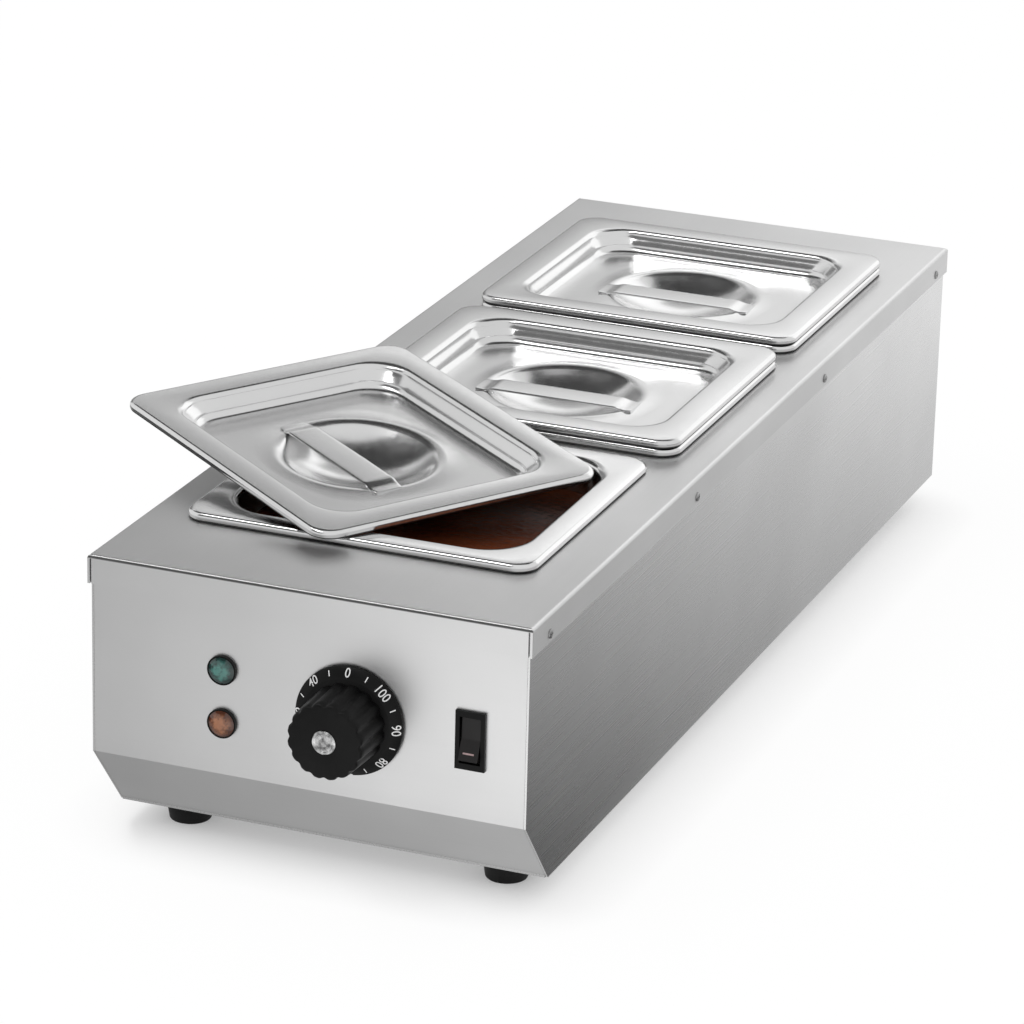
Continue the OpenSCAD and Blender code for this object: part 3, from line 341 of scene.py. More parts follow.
def tinted(tree, shader, value, dark, light):
    """Base colour between two tones, led by a pattern."""
    mix = colour_mix(tree, spread(tree, value, 0, 1), dark, light)
    tree.links.new(mix.outputs["Result"], shader.inputs["Base Color"])


# Reliefs are a bump's strength and its depth in metres, and clouds are cycles a metre
BRUSH_SPREAD, BRUSH_RELIEF, BRUSH_CLOUD = 0.02, (0.012, 0.0001), (9, 9, 9)
MOULD_RELIEF, MOULD_CLOUD = (0.25, 0.00008), (60, 60, 60)
SMEAR_LOW, SMEAR_HIGH = -0.06, 0.1

# Where the cover's top ends and its front bend lies, in metres
COVER_TOP = (0.1318, 0.1324)
BEND_DEPTH, BEND_HEIGHT = (-0.3147, -0.3137), (0.1308, 0.1312)
# The first value is the grey of a painted shade line along the cover's front bend; the second smooths
# the bend's roughness.
BEND_PAINTED_SHADE, BEND_POLISH = 0.12, -0.2


def brushed_steel(name, grain, dark, light, rough, skirt_rough=None):
    """Brushed sheet: long fine noise along the grain moves its roughness and relief, and a broad
    cloudy noise its tone. With skirt_rough, what lies below the cover's top is that much rougher,
    the front is smoother, and a painted shade darkens the bend along it."""
    material, tree, shader = finish(name, light, rough, 1.0)
    lines = noise(tree, grain, 6)
    worn = spread(tree, lines, rough - BRUSH_SPREAD, rough + BRUSH_SPREAD)
    bump(tree, shader, lines, *BRUSH_RELIEF)
    tinted(tree, shader, noise(tree, BRUSH_CLOUD, 3), dark, light)
    if skirt_rough:
        _, y, z = own_axes(tree)
        worn = combined(tree, "ADD", worn, spread(tree, z, skirt_rough - rough, 0, *COVER_TOP))
        worn = combined(tree, "ADD", worn, spread(tree, y, BEND_POLISH, 0, *BEND_DEPTH))
        # Painted shade: the base colour turns dark grey along the cover's front bend.
        bend = combined(
            tree, "MULTIPLY", spread(tree, y, 1, 0, *BEND_DEPTH), spread(tree, z, 0, 1, *BEND_HEIGHT)
        )
        tone = shader.inputs["Base Color"].links[0].from_socket
        painted_bend_shade = colour_mix(tree, bend, light, grey(BEND_PAINTED_SHADE))
        tree.links.new(tone, painted_bend_shade.inputs["A"])
        tree.links.new(painted_bend_shade.outputs["Result"], shader.inputs["Base Color"])
    tree.links.new(worn, shader.inputs["Roughness"])
    return material


def moulded(name, dark, light, rough, grain=1400, shine=0.5):
    """Moulded plastic or rubber: a fine grain in its relief and a faint cloud in its tone."""
    material, tree, shader = finish(name, light, rough)
    shader.inputs["Specular IOR Level"].default_value = shine
    bump(tree, shader, noise(tree, (grain, grain, grain), 2), *MOULD_RELIEF)
    tinted(tree, shader, noise(tree, MOULD_CLOUD, 3), dark, light)
    return material


def plated(name, dark, light, rough, scale=240):
    """Small bright metal pieces with faint smears."""
    material, tree, shader = finish(name, light, rough, 1.0)
    smear = noise(tree, (scale, scale, scale), 4)
    worn = spread(tree, smear, rough + SMEAR_LOW, rough + SMEAR_HIGH)
    tree.links.new(worn, shader.inputs["Roughness"])
    tinted(tree, shader, smear, dark, light)
    return material


LENS_R, LENS_RIM, LENS_DOME = 6.4, 1.8, 2.3
LENS_FRONT = LENS_RIM + LENS_DOME
# The first value is the span in metres over which a painted highlight fades from each lens's centre to
# its edge.
LENS_PAINTED_GLINT, LENS_CELL, LENS_RELIEF = (0.0012, 0.0062), (420, 420, 420), (0.3, 0.0004)


def lens_finish(name, dark, light, side):
    """A tinted clear lens over a moulded pattern, with a painted highlight: light at the centre, dark at
    the edge.
    """
    material, tree, shader = finish(name, light, 0.12)
    shader.inputs["Coat Weight"].default_value = 0.4
    shader.inputs["Coat Roughness"].default_value = 0.05
    centre = Vector((LAMP_X, FACE_Y - LENS_FRONT, CONTROL_Z + side * LAMP_RISE)) * MM
    reach = vector_step(tree, "DISTANCE", own_place(tree), centre)
    cell = noise(tree, LENS_CELL, 2)
    # Painted highlight: the base colour is lightest at the lens's centre and darkens towards its edge,
    # broken up by the cells.
    painted_glint = combined(
        tree, "MULTIPLY", spread(tree, reach, 1, 0.3, *LENS_PAINTED_GLINT), spread(tree, cell, 0.55, 1, 0.35, 0.6)
    )
    tinted(tree, shader, painted_glint, dark, light)
    bump(tree, shader, cell, *LENS_RELIEF)
    return material


# The span in metres along Y over which the chocolate takes a painted shade towards the back and grows
# lumpier.
CHOCOLATE_SHADE_AND_LUMP_SPAN = (-0.235, -0.185)
SWIRLS, LUMPS, LUMP_RELIEF = (14, 30, 14), (330, 330, 330), (0.5, 0.0014)


def chocolate_finish():
    """Melted chocolate with slow swirls: a painted shade takes it from reddish brown in front to
    near black behind, and its gloss is lumpier behind."""
    material, tree, shader = finish("melted_chocolate", (0.12, 0.03, 0.012), 0.26)
    shader.inputs["IOR"].default_value = 1.25
    y = own_axes(tree)["Y"]
    swirl = spread(tree, noise(tree, SWIRLS, 2), 0.5, 0.8, 0.36, 0.62)
    # Painted shade: the tone falls from the front's reddish brown towards near black behind.
    tone = combined(tree, "MULTIPLY", spread(tree, y, 1, 0.48, *CHOCOLATE_SHADE_AND_LUMP_SPAN), swirl)
    tinted(tree, shader, tone, (0.07, 0.018, 0.007), (0.2, 0.052, 0.019))
    lumps = combined(
        tree, "MULTIPLY", noise(tree, LUMPS, 3), spread(tree, y, 0.3, 1, *CHOCOLATE_SHADE_AND_LUMP_SPAN)
    )
    bump(tree, shader, lumps, *LUMP_RELIEF)
    return material


STEEL = (grey(0.62), grey(0.70))
cover_steel = brushed_steel("cover_steel", (900, 14, 900), *STEEL, 0.36, 0.60)
front_steel = brushed_steel("front_steel", (10, 900, 900), *STEEL, 0.38)
side_steel = brushed_steel("side_steel", (900, 10, 900), *STEEL, 0.28)
lid_steel = brushed_steel("lid_steel", (260, 260, 260), grey(0.64), grey(0.72), 0.19)
pan_steel = brushed_steel("pan_steel", (240, 240, 240), grey(0.66), grey(0.74), 0.14)
# Painted shadow: near-black steel for the lowest band of each pan's and lid's turned-down lip, where the
# gap under the rim is dark.
painted_shadow_steel = plated("painted_shadow_steel", grey(0.05), grey(0.1), 0.4)
well_steel = brushed_steel("well_steel", (30, 30, 900), grey(0.5), grey(0.6), 0.32)
zinc = plated("zinc", grey(0.5), grey(0.68), 0.26)
screw_steel = plated("screw_steel", grey(0.22), grey(0.42), 0.3)
# Painted reflections: the cap's smear pattern sweeps its base colour from near black to near white in
# patches.
cap_metal = plated("cap_metal", grey(0.04), grey(0.8), 0.2, 330)
sheath = plated("sheath", (0.08, 0.075, 0.07), (0.2, 0.18, 0.16), 0.5)
copper = plated("copper", (0.5, 0.24, 0.13), (0.72, 0.4, 0.24), 0.3)
black_plastic = moulded("black_plastic", grey(0.002), grey(0.005), 0.42, shine=0.14)
rocker_plastic = moulded(
    "rocker_plastic", (0.003, 0.002, 0.002), (0.008, 0.007, 0.007), 0.28, shine=0.3
)
ivory_plastic = moulded("ivory_plastic", (0.66, 0.62, 0.52), (0.76, 0.72, 0.62), 0.45)
loom_sleeve = moulded("loom_sleeve", (0.02, 0.02, 0.022), (0.06, 0.06, 0.065), 0.6, 700)
foot_rubber = moulded("foot_rubber", grey(0.003), grey(0.009), 0.6, 900, 0.2)
numeral_paint = moulded("numeral_paint", grey(0.66), grey(0.8), 0.5)
# A printed mark whose pale pinkish grey and width also make it a painted highlight on the rocker.
mark_and_highlight_paint = moulded("mark_and_highlight_paint", (0.24, 0.15, 0.15), (0.4, 0.29, 0.29), 0.5)
# Each lens's lighter tone is the colour of its painted highlight at the centre.
green_glass = lens_finish("green_glass", (0.003, 0.02, 0.018), (0.055, 0.18, 0.155), 1)
amber_glass = lens_finish("amber_glass", (0.06, 0.014, 0.004), (0.3, 0.12, 0.055), -1)
melted = chocolate_finish()

CAD_FINISHES = {
    cover_steel: ("top_cover",),
    front_steel: ("front_panel", "back_panel"),
    side_steel: ("left_side_panel", "right_side_panel", "base_plate"),
    well_steel: ("heated_well",),
    zinc: (
        "foot_screws", "foot_nuts", "clamp_bars", "clamp_nuts", "thermostat_screws", "bulb_clip",
        "thermostat_spindle", "lamp_nuts", "switch_tabs", "rocker_pin",
    ),
    sheath: ("heating_element",),
    copper: ("sensing_bulb", "capillary_tube"),
    black_plastic: ("lamp_bodies", "switch_housing", "cable_gland", "gland_cap", "gland_nut"),
    ivory_plastic: ("thermostat_body", "terminal_block"),
    loom_sleeve: ("wiring_loom",),
}


def dress_cad():
    """Gives each shown CAD node its finish."""
    for material, names in CAD_FINISHES.items():
        for name in names:
            slots = frame["nodes"][name].data.materials
            slots.clear()
            slots.append(material)


# Pans, chocolate and lids

LIP_LEAN, LIP_DROP, LIP_STRAIGHT, LIP_BEND = 0.3, 4.0, 3.2, 2.0
MOUTH_BEND = 2.8
PAN_FLANGE, PAN_MOUTH, PAN_MOUTH_CORNER = 6.0, 14.0, 26.0
PAN_LEAN, PAN_WALL_END, PAN_FILLET = 4.0, -87.2, 12.0
LID_FLANGE, LID_MOUTH, LID_MOUTH_CORNER = 8.0, 17.0, 20.0
LID_WALL, LID_FOOT, LID_FILLET, LID_FLOOR = (18.2, -4.6), 20.0, 4.0, -11.0
DISH_R, DISH_DEPTH, DISH_LIP = 38.0, 12.0, 8.0


def flange_section(flange, mouth):
    """The rim that pans and lids share, as (inset, height) points: an edge turned down, a flange and
    a bend down into the mouth."""
    section = [(LIP_LEAN, -LIP_DROP), (0.0, -LIP_STRAIGHT)]
    section += arc((LIP_BEND, -LIP_BEND), LIP_BEND, 180, 90) + [(flange, 0.0)]
    return section + arc((mouth - MOUTH_BEND, -MOUTH_BEND), MOUTH_BEND, 90, 0)


def pan_rows():
    """A drawn pan: turned-down rim, flange, bend, leaning wall, fillet and floor, as insets from the
    rim's edge and heights below its top."""
    section = flange_section(PAN_FLANGE, PAN_MOUTH)
    wall_drop = PAN_WALL_END + MOUTH_BEND
    section += [
        (PAN_MOUTH + PAN_LEAN * share, wall_drop * share - MOUTH_BEND) for share in (0.2, 0.4, 0.6, 0.8)
    ]
    section += arc((PAN_MOUTH + PAN_LEAN + PAN_FILLET, PAN_WALL_END), PAN_FILLET, 180, 270)
    rows = inset_rows(section, between(PAN_CORNER, PAN_MOUTH_CORNER, LIP_BEND, PAN_MOUTH))
    floor = rows[-1]
    rows += [floor * [share, share, 1] for share in (0.75, 0.5, 0.25)]
    return rows, np.array([0, 0, floor[0, 2]])


def make_pans():
    """The three pans, each with its rim's top at the same height."""
    rows, pole = pan_rows()
    verts, faces = sheet_shell(rows, pole, SHEET_T)
    # The lip's lowest band of faces gets the painted shadow.
    painted_shadow_band = (painted_shadow_steel, len(rows[0]))
    for name, node, body in (
        ("front", "pan_1", "housing"), ("middle", "pan_2", "middle_pan"), ("back", "pan_3", "back_pan")
    ):
        place = (*PAN_PLACES[name], RIM_TOP)
        piece(
            f"{name}_pan_sheet", verts + place, faces, pan_steel, body, (node,),
            edge=painted_shadow_band
        )


CHOCOLATE_CORNER = 25.0
SWELL, SWELL_X, SWELL_Y, SWELL_START = 0.5, 0.11, 0.09, 0.6


def make_chocolate():
    """Melted chocolate in the front pan: a body inside the wall, and a top whose height is a slow
    swell a sin(k x) cos(l y + c), with an edge that creeps up the wall."""
    inside = [
        (40.0, -98.6), (31.5, -98.4), (22.0, -94.0), (18.6, -86.0), (15.6, -24.0), (15.1, -17.0),
        (16.0, -17.4), (18.0, -17.8), (22.0, -18.0),
    ]
    rows = inset_rows(inside, lambda s: CHOCOLATE_CORNER)
    edge = rows[-1]
    for share in np.linspace(0.94, 0.06, 16):
        ring = edge * [share, share, 1]
        fade = 1 - share ** 6
        wave = np.sin(ring[:, 0] * SWELL_X) * np.cos(ring[:, 1] * SWELL_Y + SWELL_START)
        ring[:, 2] += SWELL * fade * wave
        rows.append(ring)
    P = np.stack(rows)
    verts, faces = capped(P, [0, 0, P[0, 0, 2]], [0, 0, P[-1, :, 2].mean()])
    verts = verts + (*PAN_PLACES["front"], RIM_TOP)
    piece("melted_chocolate", verts, faces, melted, "housing", ("chocolate",), 60)


def lid_rows():
    """A pressed lid: turned-down edge, flange, well with leaning walls, flat floor, and a round dish
    with a soft lip, which is a ball's cap. The floor's rings change from rounded rectangles to
    circles."""
    section = flange_section(LID_FLANGE, LID_MOUTH) + [LID_WALL]
    section += arc((LID_FOOT + LID_FILLET, LID_FLOOR + LID_FILLET), LID_FILLET, 180, 270)
    rows = inset_rows(section, between(PAN_CORNER, LID_MOUTH_CORNER, LIP_BEND, LID_MOUTH))
    edge = rows[-1][:, :2]
    angle = np.arctan2(edge[:, 1], edge[:, 0])
    circle = np.stack([np.cos(angle), np.sin(angle)], -1)
    lip_r = DISH_R + DISH_LIP
    rows += [
        level_ring(edge * (1 - share) + circle * lip_r * share, LID_FLOOR) for share in (0.35, 0.7)
    ]
    ball = (DISH_R ** 2 + DISH_DEPTH ** 2) / (2 * DISH_DEPTH)
    lip = [(lip_r, 0.0), (DISH_R + 5, 0.5), (DISH_R + 2.5, 0.6), (DISH_R, -0.15)]
    bowl = [
        (r, ball - DISH_DEPTH - math.sqrt(ball ** 2 - r ** 2)) for r in (36.5, 34, 30, 24, 17, 10, 4)
    ]
    rows += [level_ring(circle * r, LID_FLOOR + h) for r, h in lip + bowl]
    return rows, np.array([0, 0, LID_FLOOR - DISH_DEPTH])


def strap_solid():
    """A flat strap across the dish: its height is a smooth step up from each welded end, and its
    section is a rectangle with round edges."""
    half, width, thick, rise, fore = 42.0, 17.0, 1.2, 1.2, 11.0
    weld_z, step_run, end_run, end_loss = -10.95, 6.0, 4.0, 0.12
    square, edge_round = 0.25, 0.7
    x = np.linspace(-half, half, 61)
    step = np.clip((DISH_R - np.abs(x)) / step_run, 0, 1)
    low = weld_z + rise * step * step * (3 - 2 * step)
    t = full_turn(24)
    across = np.sign(np.cos(t)) * np.abs(np.cos(t)) ** square * width / 2
    high = thick / 2 + np.sign(np.sin(t)) * np.abs(np.sin(t)) ** edge_round * thick / 2
    taper = np.clip((half - np.abs(x)) / end_run, 0, 1) ** 0.4 * end_loss + 1 - end_loss
    P = np.stack([
        x[:, None] + 0 * t, -fore - across[None] * taper[:, None], low[:, None] + high[None]
    ], -1)
    return inside_out(*capped(P, P[0].mean(0), P[-1].mean(0)))


def askew(verts):
    """The front lid's place: turned about Z, tilted about X and Y, then moved."""
    verts = turned(turned(turned(verts, "Z", ASKEW_TURN), "X", ASKEW_PITCH), "Y", ASKEW_ROLL)
    return verts + ASKEW_SHIFT + np.array([*PAN_PLACES["front"], RIM_TOP])


def make_lids():
    """The three lids with their straps. The front one lies askew and the others are closed."""
    rows, pole = lid_rows()
    sheet, sheet_faces = sheet_shell(rows, pole, SHEET_T)
    # The lip's lowest band of faces gets the painted shadow.
    painted_shadow_band = (painted_shadow_steel, len(rows[0]))
    strap, strap_faces = strap_solid()
    for i, name in enumerate(PAN_PLACES, 1):
        body = f"{name}_lid"
        closed = np.array([*PAN_PLACES[name], LID_TOP])
        sheet_there, strap_there = (
            askew(v) if name == "front" else v + closed for v in (sheet, strap)
        )
        piece(
            f"{name}_lid_sheet", sheet_there, sheet_faces, lid_steel, body, (f"lid_{i}",),
            edge=painted_shadow_band
        )
        piece(
            f"{name}_lid_strap", strap_there, strap_faces, lid_steel, body,
            (f"lid_handle_{i}",)
        )


# Knob

DIAL_GAP, DIAL_T, DIAL_RIM_T, DIAL_R, DIAL_BEVEL = 0.8, 5.0, 2.0, 26.5, 5.0
NUMERAL_SIZE, NUMERAL_R, NUMERAL_STEP = 5.6, 24.0, 45
TICK_W, TICK_L, TICK_R = 0.5, 2.4, 24.2
PAINT_HALF = 0.04
FLUTES = 16


def dial_height(r):
    """Height of the dial's front at a radius: level inside, sloping down over the bevel."""
    slope = (DIAL_T - DIAL_RIM_T) / DIAL_BEVEL
    return DIAL_GAP + DIAL_T - slope * np.clip(r - (DIAL_R - DIAL_BEVEL), 0, DIAL_BEVEL)


def round_the_dial(verts, degrees, radius):
    """Lays flat (right, up, out) vertices on the dial at an angle clockwise from the top, with up
    pointing outwards: (r sin a + x cos a, r cos a - x sin a)."""
    a = math.radians(degrees)
    r = radius + verts[:, 1]
    across = verts[:, 0]
    flat = [r * math.sin(a) + across * math.cos(a), r * math.cos(a) - across * math.sin(a)]
    return np.column_stack([*flat, dial_height(np.hypot(*flat)) + verts[:, 2]])


def numeral(text, size):
    """A number as flat triangles with a little thickness."""
    curve = bpy.data.curves.new("numeral", "FONT")
    curve.body, curve.size, curve.extrude = text, size, PAINT_HALF
    curve.offset = 0.015
    curve.align_x, curve.align_y = "CENTER", "CENTER"
    curve.resolution_u = 3
    obj = bpy.data.objects.new("numeral", curve)
    mesh = bpy.data.meshes.new_from_object(obj)
    verts = np.zeros(len(mesh.vertices) * 3)
    mesh.vertices.foreach_get("co", verts)
    faces = [list(p.vertices) for p in mesh.polygons]
    for data, store in ((obj, bpy.data.objects), (curve, bpy.data.curves), (mesh, bpy.data.meshes)):
        store.remove(data)
    return verts.reshape(-1, 3), faces


def tick(width, length):
    """A thin bar as a box."""
    sides = ([-size / 2, size / 2] for size in (width, length, 2 * PAINT_HALF))
    corners = np.stack(np.meshgrid(*sides, indexing="ij"), -1).reshape(-1, 3)
    return corners, [[0, 1, 3, 2], [4, 6, 7, 5], [0, 4, 5, 1], [2, 3, 7, 6], [0, 2, 6, 4], [1, 5, 7, 3]]


def dial_marks():
    """A number at every eighth of the dial, from 0 and then 40 up, and a tick between numbers."""
    marks = []
    for k in range(8):
        text = str(30 + 10 * k) if k else "0"
        v, f = numeral(text, NUMERAL_SIZE)
        marks.append((round_the_dial(v, -NUMERAL_STEP * k, NUMERAL_R), f))
        v, f = tick(TICK_W, TICK_L)
        marks.append((round_the_dial(v, -NUMERAL_STEP * (k + 0.5), TICK_R), f))
    return joined(marks)


def grip_solid():
    """The fluted grip: its radius is its taper less a flute of depth d ((1 + cos 16 t) / 2)^2, and
    rings on its face lead in to the cap's seat."""
    t = full_turn(192)
    side_h = np.array([5.85, 6.2, 10, 15, 20, 26, 29.0, 30.0, 30.6, 30.8])
    taper = np.array([19.2, 19.48, 19.33, 19.13, 18.93, 18.69, 18.55, 18.2, 17.5, 16.6])
    depth = np.array([1.2, 1.2, 1.2, 1.2, 1.2, 1.15, 1.1, 1.0, 0.6, 0.0])
    flute = ((1 + np.cos(FLUTES * t)) / 2) ** 2
    side_r = taper[:, None] - depth[:, None] * flute
    face_r = np.array([9.0, 6.1, 5.95, 5.95])
    face_h = np.array([30.8, 30.7, 30.5, 30.15])
    radius = np.concatenate([side_r, face_r[:, None] + 0 * t])
    heights = np.concatenate([side_h, face_h])
    P = round_rings(radius, heights[:, None], t)
    return capped(P, [0, 0, heights[0]], [0, 0, heights[-1]])


def make_knob():
    """Dial, numbers, fluted grip and metal cap, all about the knob's axis."""
    dial = [
        (0, 3.4), (19.6, 3.4), (20, 3.0), (20, 0.8), (26.1, 0.8), (26.5, 1.1), (26.5, 2.5),
        (26.2, 3.0), (21.9, 5.6), (21.4, 5.8), (0, 5.8),
    ]
    cap = [
        (0, 30.2), (5.7, 30.2), (5.8, 30.4), (5.8, 30.9), (5.5, 31.2), (4.6, 31.3), (4.3, 31.0),
        (2.2, 31.0), (1.9, 31.3), (0, 31.3),
    ]
    for name, solid, material, slot, nodes, sharp in (
        ("dial_disc", lathe(dial, 96), black_plastic, "black_plastic", ("dial_ring",), 32),
        ("dial_numbers", dial_marks(), numeral_paint, "black_plastic", (), 32),
        ("fluted_grip", grip_solid(), black_plastic, "black_plastic", ("knob_grip",), 40),
        ("spun_cap", lathe(cap, 48), cap_metal, "cap_metal", ("knob_cap",), 32),
    ):
        verts, faces = solid
        verts = on_front(verts, KNOB_X, CONTROL_Z)
        piece(name, verts, faces, material, "knob", nodes, sharp)


# Lamps and switch

LENS_BACK, LENS_STEP = 0.45, 1.2
LENS_RIBS, LENS_RIPPLE = 12, 0.22


def make_lamps():
    """Domed lenses: the front's height is a parabola's cap with a ripple of twelve ribs, which fades
    at the centre and at the edge."""
    t = full_turn(72)
    share = np.linspace(1, 0.08, 12)[:, None]
    ripple = LENS_RIPPLE * np.cos(LENS_RIBS * t) * share * (1 - share)
    P = np.concatenate([
        round_rings(LENS_R, np.array([[LENS_BACK], [LENS_STEP]]), t),
        round_rings(LENS_R * share, LENS_RIM + LENS_DOME * (1 - share ** 2) + ripple, t),
    ])
    verts, faces = capped(P, [0, 0, LENS_BACK], [0, 0, LENS_FRONT])
    for name, side, glass, node in (
        ("green_dome", 1, green_glass, "green_lens"), ("amber_dome", -1, amber_glass, "amber_lens")
    ):
        placed = on_front(verts, LAMP_X, CONTROL_Z + side * LAMP_RISE)
        piece(name, placed, faces, glass, "housing", (node,), 50)


ROCKER_R, ROCKER_FLAT, ROCKER_PIN = 10.9, -3.9, (0, 0, -2.0)
ROCKER_DIP, ROCKER_RISE, ROCKER_RUN = 2.55, 2.0, 11
ROCKER_TILT = -12
MARK_W, MARK_L, MARK_DOWN, MARK_PROUD = 5.4, 0.8, 6.6, 0.02


def rocker_front(up):
    """How far the rocker's front stands out at a height: a shallow V."""
    return ROCKER_DIP + ROCKER_RISE * np.abs(up) / ROCKER_RUN


def rocker_solid():
    """The rocker: its outline from the side is a circle cut by a shallow V in front and a flat behind,
    carried across the width with round edges."""
    t = full_turn(120)
    up = ROCKER_R * np.sin(t)
    out = np.clip(ROCKER_R * np.cos(t), ROCKER_FLAT, rocker_front(up))
    outline = np.column_stack([up, out])
    across = np.array([-4.75, -4.6, -4.2, 4.2, 4.6, 4.75])
    shrink = np.array([0.95, 0.985, 1, 1, 0.985, 0.95])
    P = np.stack([np.column_stack([np.full(len(t), x), outline * s]) for x, s in zip(across, shrink)])
    return inside_out(*capped(P, [across[0], 0, 0], [across[-1], 0, 0]))


def on_rocker(verts):
    """Tilts the rocker's own vertices back at the top and sets them on the pin in the front face."""
    return on_front(turned(verts, "X", ROCKER_TILT) + ROCKER_PIN, SWITCH_X, CONTROL_Z)


def make_switch():
    """The rocker on its pin, and a short mark along its lower half, printed and also a painted
    highlight.
    """
    verts, faces = rocker_solid()
    piece(
        "rocker_paddle", on_rocker(verts), faces, rocker_plastic, "rocker",
        ("switch_rocker",), 25
    )
    verts, faces = tick(MARK_W, MARK_L)
    verts = turned(verts, "X", math.degrees(math.atan2(-ROCKER_RISE, ROCKER_RUN)))
    verts = verts + [0, -MARK_DOWN, rocker_front(MARK_DOWN) + MARK_PROUD]
    piece("rocker_mark", on_rocker(verts), faces, mark_and_highlight_paint, "rocker")


# Screws and feet

SCREW_X, SCREW_Z, SCREW_ROW = 110.0, 123.0, np.linspace(-293.5, 293.5, 4)
HEAD_R, HEAD_RIM, HEAD_RISE = 2.35, 0.45, 0.7
RECESS_HALF, RECESS_REACH, RECESS_DEPTH, RECESS_FLOOR = 0.3, 1.4, 0.55, 0.6
FOOT_X, FOOT_Y = 81.0, 265.0


def screw_solid():
    """A pan-head screw along Z: shank, flat under its head, and a domed head with a crossed recess,
    where the height drops inside two narrow bars."""
    t = full_turn(48)
    shank = np.array([(0.7, -6.0), (1.2, -5.5), (1.2, -0.02), (2.25, 0.0), (2.3, 0.4)])
    r = np.array([2.2, 2.05, 1.8, 1.55, 1.3, 1.05, 0.8, 0.55, 0.3, 0.12])[:, None]
    dome = HEAD_RIM + HEAD_RISE * np.sqrt(1 - (r / HEAD_R) ** 2)
    cross = np.minimum(np.abs(r * np.cos(t)), np.abs(r * np.sin(t))) < RECESS_HALF
    depth = RECESS_DEPTH * cross * (r < RECESS_REACH)
    P = np.concatenate([round_rings(shank[:, :1], shank[:, 1:], t), round_rings(r, dome - depth, t)])
    return capped(P, [0, 0, shank[0, 1]], [0, 0, RECESS_FLOOR])


def make_cover_screws():
    """Four screws along each side of the cover."""
    verts, faces = screw_solid()
    verts, faces = joined([
        (turned(verts, "Y", 90 * side) + [side * SCREW_X, y, SCREW_Z], faces)
        for side in (-1, 1) for y in SCREW_ROW
    ])
    piece(
        "cover_screw_row", verts, faces, screw_steel, "housing", ("cover_screws",)
    )


def make_feet():
    """Four rubber feet: a tapered drum with round edges and a recess for its screw."""
    profile = [
        (0, 6.0), (3.9, 6.0), (3.95, 0.4), (4.4, 0.0), (9.3, 0.0), (9.8, 0.15), (10.1, 0.6),
        (11.9, 11.4), (12.0, 11.9), (11.6, 12.0), (2.2, 12.0), (2.15, 11.9), (2.15, 6.2), (0, 6.2),
    ]
    verts, faces = lathe(profile)
    verts, faces = joined([
        (verts + [sx * FOOT_X, sy * FOOT_Y, FLOOR_Z], faces) for sx in (-1, 1) for sy in (-1, 1)
    ])
    piece("foot_pads", verts, faces, foot_rubber, "housing", ("rubber_feet",))


# Studio, in metres

STAGE_Z = FLOOR_Z * MM
FLOOR_REACH, FLOOR_WHITE = 12, 0.96
SHADOW_HOLD, SHADOW_FADE, WHITE_SHARE = (0.09, 0.275, 1), (0, 0.055), (0.25, 0.93)
SKY_STRENGTH = 0.93
LAMP_PLACE, LAMP_SIZE, LAMP_POWER = (-1.02, -0.62, 2.75), (2.2, 0.5), 20
CARD_AIM_Z = 0.13


def stage_sheet(name, corners, material):
    """A flat sheet of the studio, which isn't part of the object."""
    mesh = bpy.data.meshes.new(name)
    mesh.from_pydata(corners, [], [(0, 1, 2, 3)])
    mesh.materials.append(material)
    obj = bpy.data.objects.new(name, mesh)
    bpy.context.scene.collection.objects.link(obj)
    return obj


def card(name, corners, direction, near, far, first, last):
    """A studio card that only reflections see. Its glow goes from first to last while the product of
    place and direction goes from near to far."""
    material = bpy.data.materials.new(name)
    material.use_nodes = True
    tree = material.node_tree
    tree.nodes.clear()
    along = vector_step(tree, "DOT_PRODUCT", own_place(tree), direction)
    glow = tree.nodes.new("ShaderNodeEmission")
    out = tree.nodes.new("ShaderNodeOutputMaterial")
    tree.links.new(spread(tree, along, first, last, near, far), glow.inputs["Strength"])
    tree.links.new(glow.outputs["Emission"], out.inputs["Surface"])
    obj = stage_sheet(name, corners, material)
    obj.visible_camera = obj.visible_diffuse = obj.visible_shadow = False
    obj.visible_transmission = obj.visible_volume_scatter = False


def level_corners(x0, y0, x1, y1, lift=0.0):
    """Corners of a level sheet, lifted by that much above the floor."""
    z = STAGE_Z + lift
    return [(x0, y0, z), (x1, y0, z), (x1, y1, z), (x0, y1, z)]


def upright_corners(x0, z0, x1, z1, y):
    """Corners of an upright card behind the part."""
    return [(x0, y, z0), (x1, y, z0), (x1, y, z1), (x0, y, z1)]


def facing_corners(direction, distance, width, height):
    """Corners of a card that faces the part from a direction."""
    out = Vector(direction).normalized()
    side = Vector((0, 0, 1)).cross(out).normalized() * width / 2
    rise = out.cross(side).normalized() * height / 2
    middle = out * distance + Vector((0, 0, CARD_AIM_Z))
    return [tuple(middle + a * side + b * rise) for a, b in ((-1, -1), (1, -1), (1, 1), (-1, 1))]


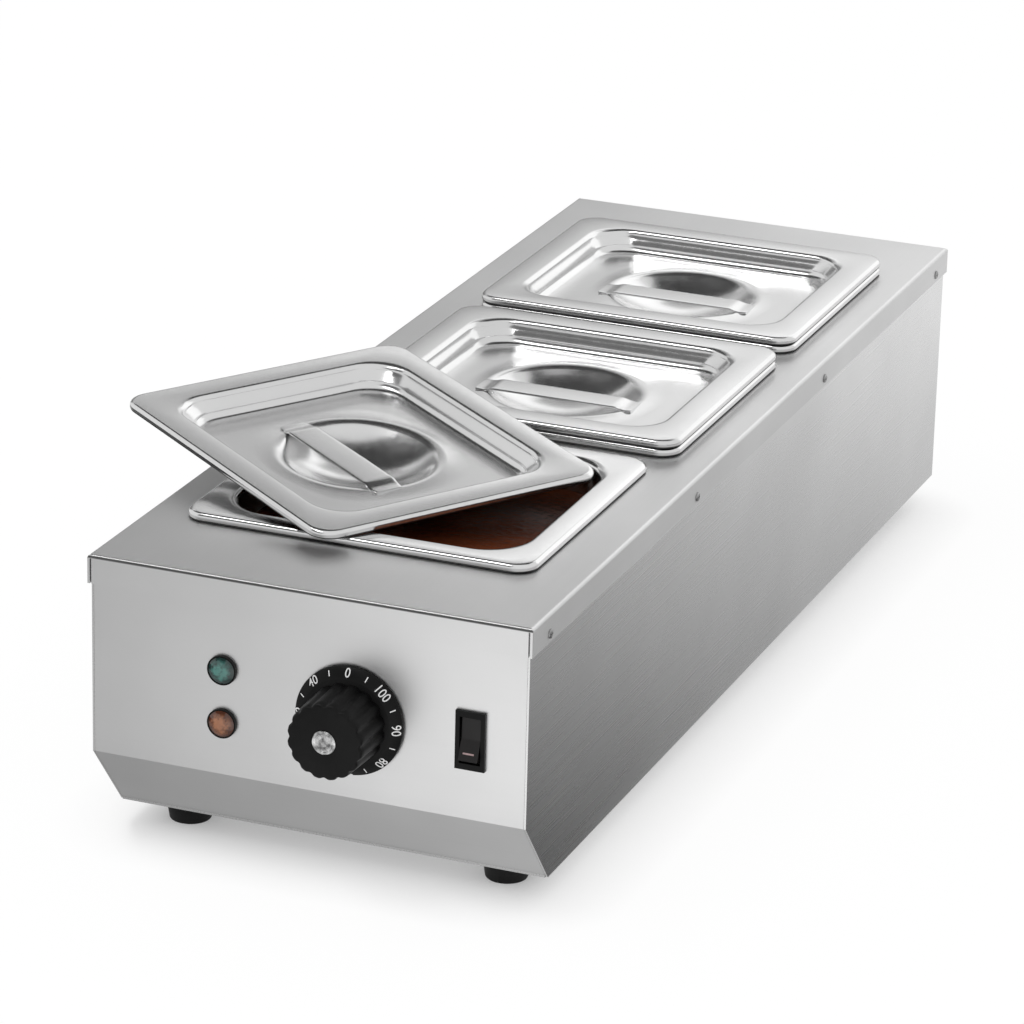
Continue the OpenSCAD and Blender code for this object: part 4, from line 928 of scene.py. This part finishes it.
def pale_floor():
    """Matt white floor, part lit and part white of its own where the camera or a reflection sees it.
    The white share grows with the distance from the part, so that its shadow stays close under it."""
    material, tree, shader = finish("floor_paint", grey(FLOOR_WHITE), 0.9)
    shader.inputs["Specular IOR Level"].default_value = 0.0
    rays = tree.nodes.new("ShaderNodeLightPath").outputs
    seen = combined(tree, "MAXIMUM", rays["Is Camera Ray"], rays["Is Glossy Ray"])
    seen = combined(tree, "MAXIMUM", seen, rays["Is Transmission Ray"])
    away = vector_step(tree, "ABSOLUTE", own_place(tree))
    away = vector_step(tree, "SUBTRACT", away, SHADOW_HOLD)
    away = vector_step(tree, "MAXIMUM", away, (0, 0, 0))
    away = vector_step(tree, "LENGTH", away)
    share = combined(tree, "MULTIPLY", seen, spread(tree, away, *WHITE_SHARE, *SHADOW_FADE))
    white = tree.nodes.new("ShaderNodeEmission")
    blend = tree.nodes.new("ShaderNodeMixShader")
    tree.links.new(share, blend.inputs["Fac"])
    tree.links.new(shader.outputs["BSDF"], blend.inputs[1])
    tree.links.new(white.outputs["Emission"], blend.inputs[2])
    tree.links.new(blend.outputs["Shader"], tree.nodes["Material Output"].inputs["Surface"])
    return material


def make_cards():
    """Cards that shape the steel's reflections: on the floor round the part, in front, and behind."""
    x_axis, y_axis, z_axis = (1, 0, 0), (0, 1, 0), (0, 0, 1)
    right = level_corners(0.113, -0.7, 0.9, 1.4, 0.002)
    left = level_corners(-0.9, -0.7, -0.113, 1.4, 0.002)
    front = level_corners(-0.7, -1.3, 0.5, -0.37, 0.004)
    under = level_corners(-0.3, -0.37, 0.112, -0.2, 0.004)
    before = facing_corners((-0.34, -0.64, 0.58), 1.8, 1.5, 1.1)
    behind = facing_corners((-0.30, 0.43, 0.84), 1.8, 1.8, 1.5)
    backdrop = upright_corners(-1.8, 0.1, 1.2, 1.15, 1.0)
    upper = upright_corners(-0.95, 0.735, -0.1, 1.1, 0.99)
    card("right_floor_card", right, y_axis, -0.36, 0.65, 0.02, 1.0)
    card("left_floor_card", left, y_axis, -0.22, 0.25, 0.03, 0.55)
    card("front_floor_card", front, (1, -0.3, 0), -0.2, 0.26, 0.29, 1.32)
    card("under_floor_card", under, x_axis, -0.15, 0.15, 0.4, 0.6)
    card("front_card", before, x_axis, -2, 2, 0.18, 0.18)
    card("back_card", behind, x_axis, -2, 2, 0.05, 0.05)
    card("backdrop_card", backdrop, (1.6, 0, 2.4), 0.03, 1.12, 0.26, 1.4)
    card("upper_card", upper, z_axis, 0.735, 1.1, 0.68, 0.4)


def make_studio():
    """Pale floor, even sky, one broad soft lamp overhead, and the cards."""
    floor = level_corners(-FLOOR_REACH, -FLOOR_REACH, FLOOR_REACH, FLOOR_REACH)
    stage_sheet("studio_floor", floor, pale_floor())
    world = bpy.data.worlds.new("studio_sky")
    world.use_nodes = True
    sky = world.node_tree.nodes["Background"]
    sky.inputs["Color"].default_value = (1, 1, 1, 1)
    sky.inputs["Strength"].default_value = SKY_STRENGTH
    bpy.context.scene.world = world
    lamp = bpy.data.lights.new("soft_lamp", "AREA")
    lamp.shape, lamp.energy = "RECTANGLE", LAMP_POWER
    lamp.size, lamp.size_y = LAMP_SIZE
    obj = bpy.data.objects.new("soft_lamp", lamp)
    bpy.context.scene.collection.objects.link(obj)
    obj.location = LAMP_PLACE
    obj.rotation_euler = (-obj.location).to_track_quat("-Z", "Y").to_euler()
    make_cards()
    bpy.context.scene.view_settings.view_transform = "Standard"


place_camera()
dress_cad()
make_pans()
make_chocolate()
make_lids()
make_knob()
make_lamps()
make_switch()
make_cover_screws()
make_feet()
make_studio()
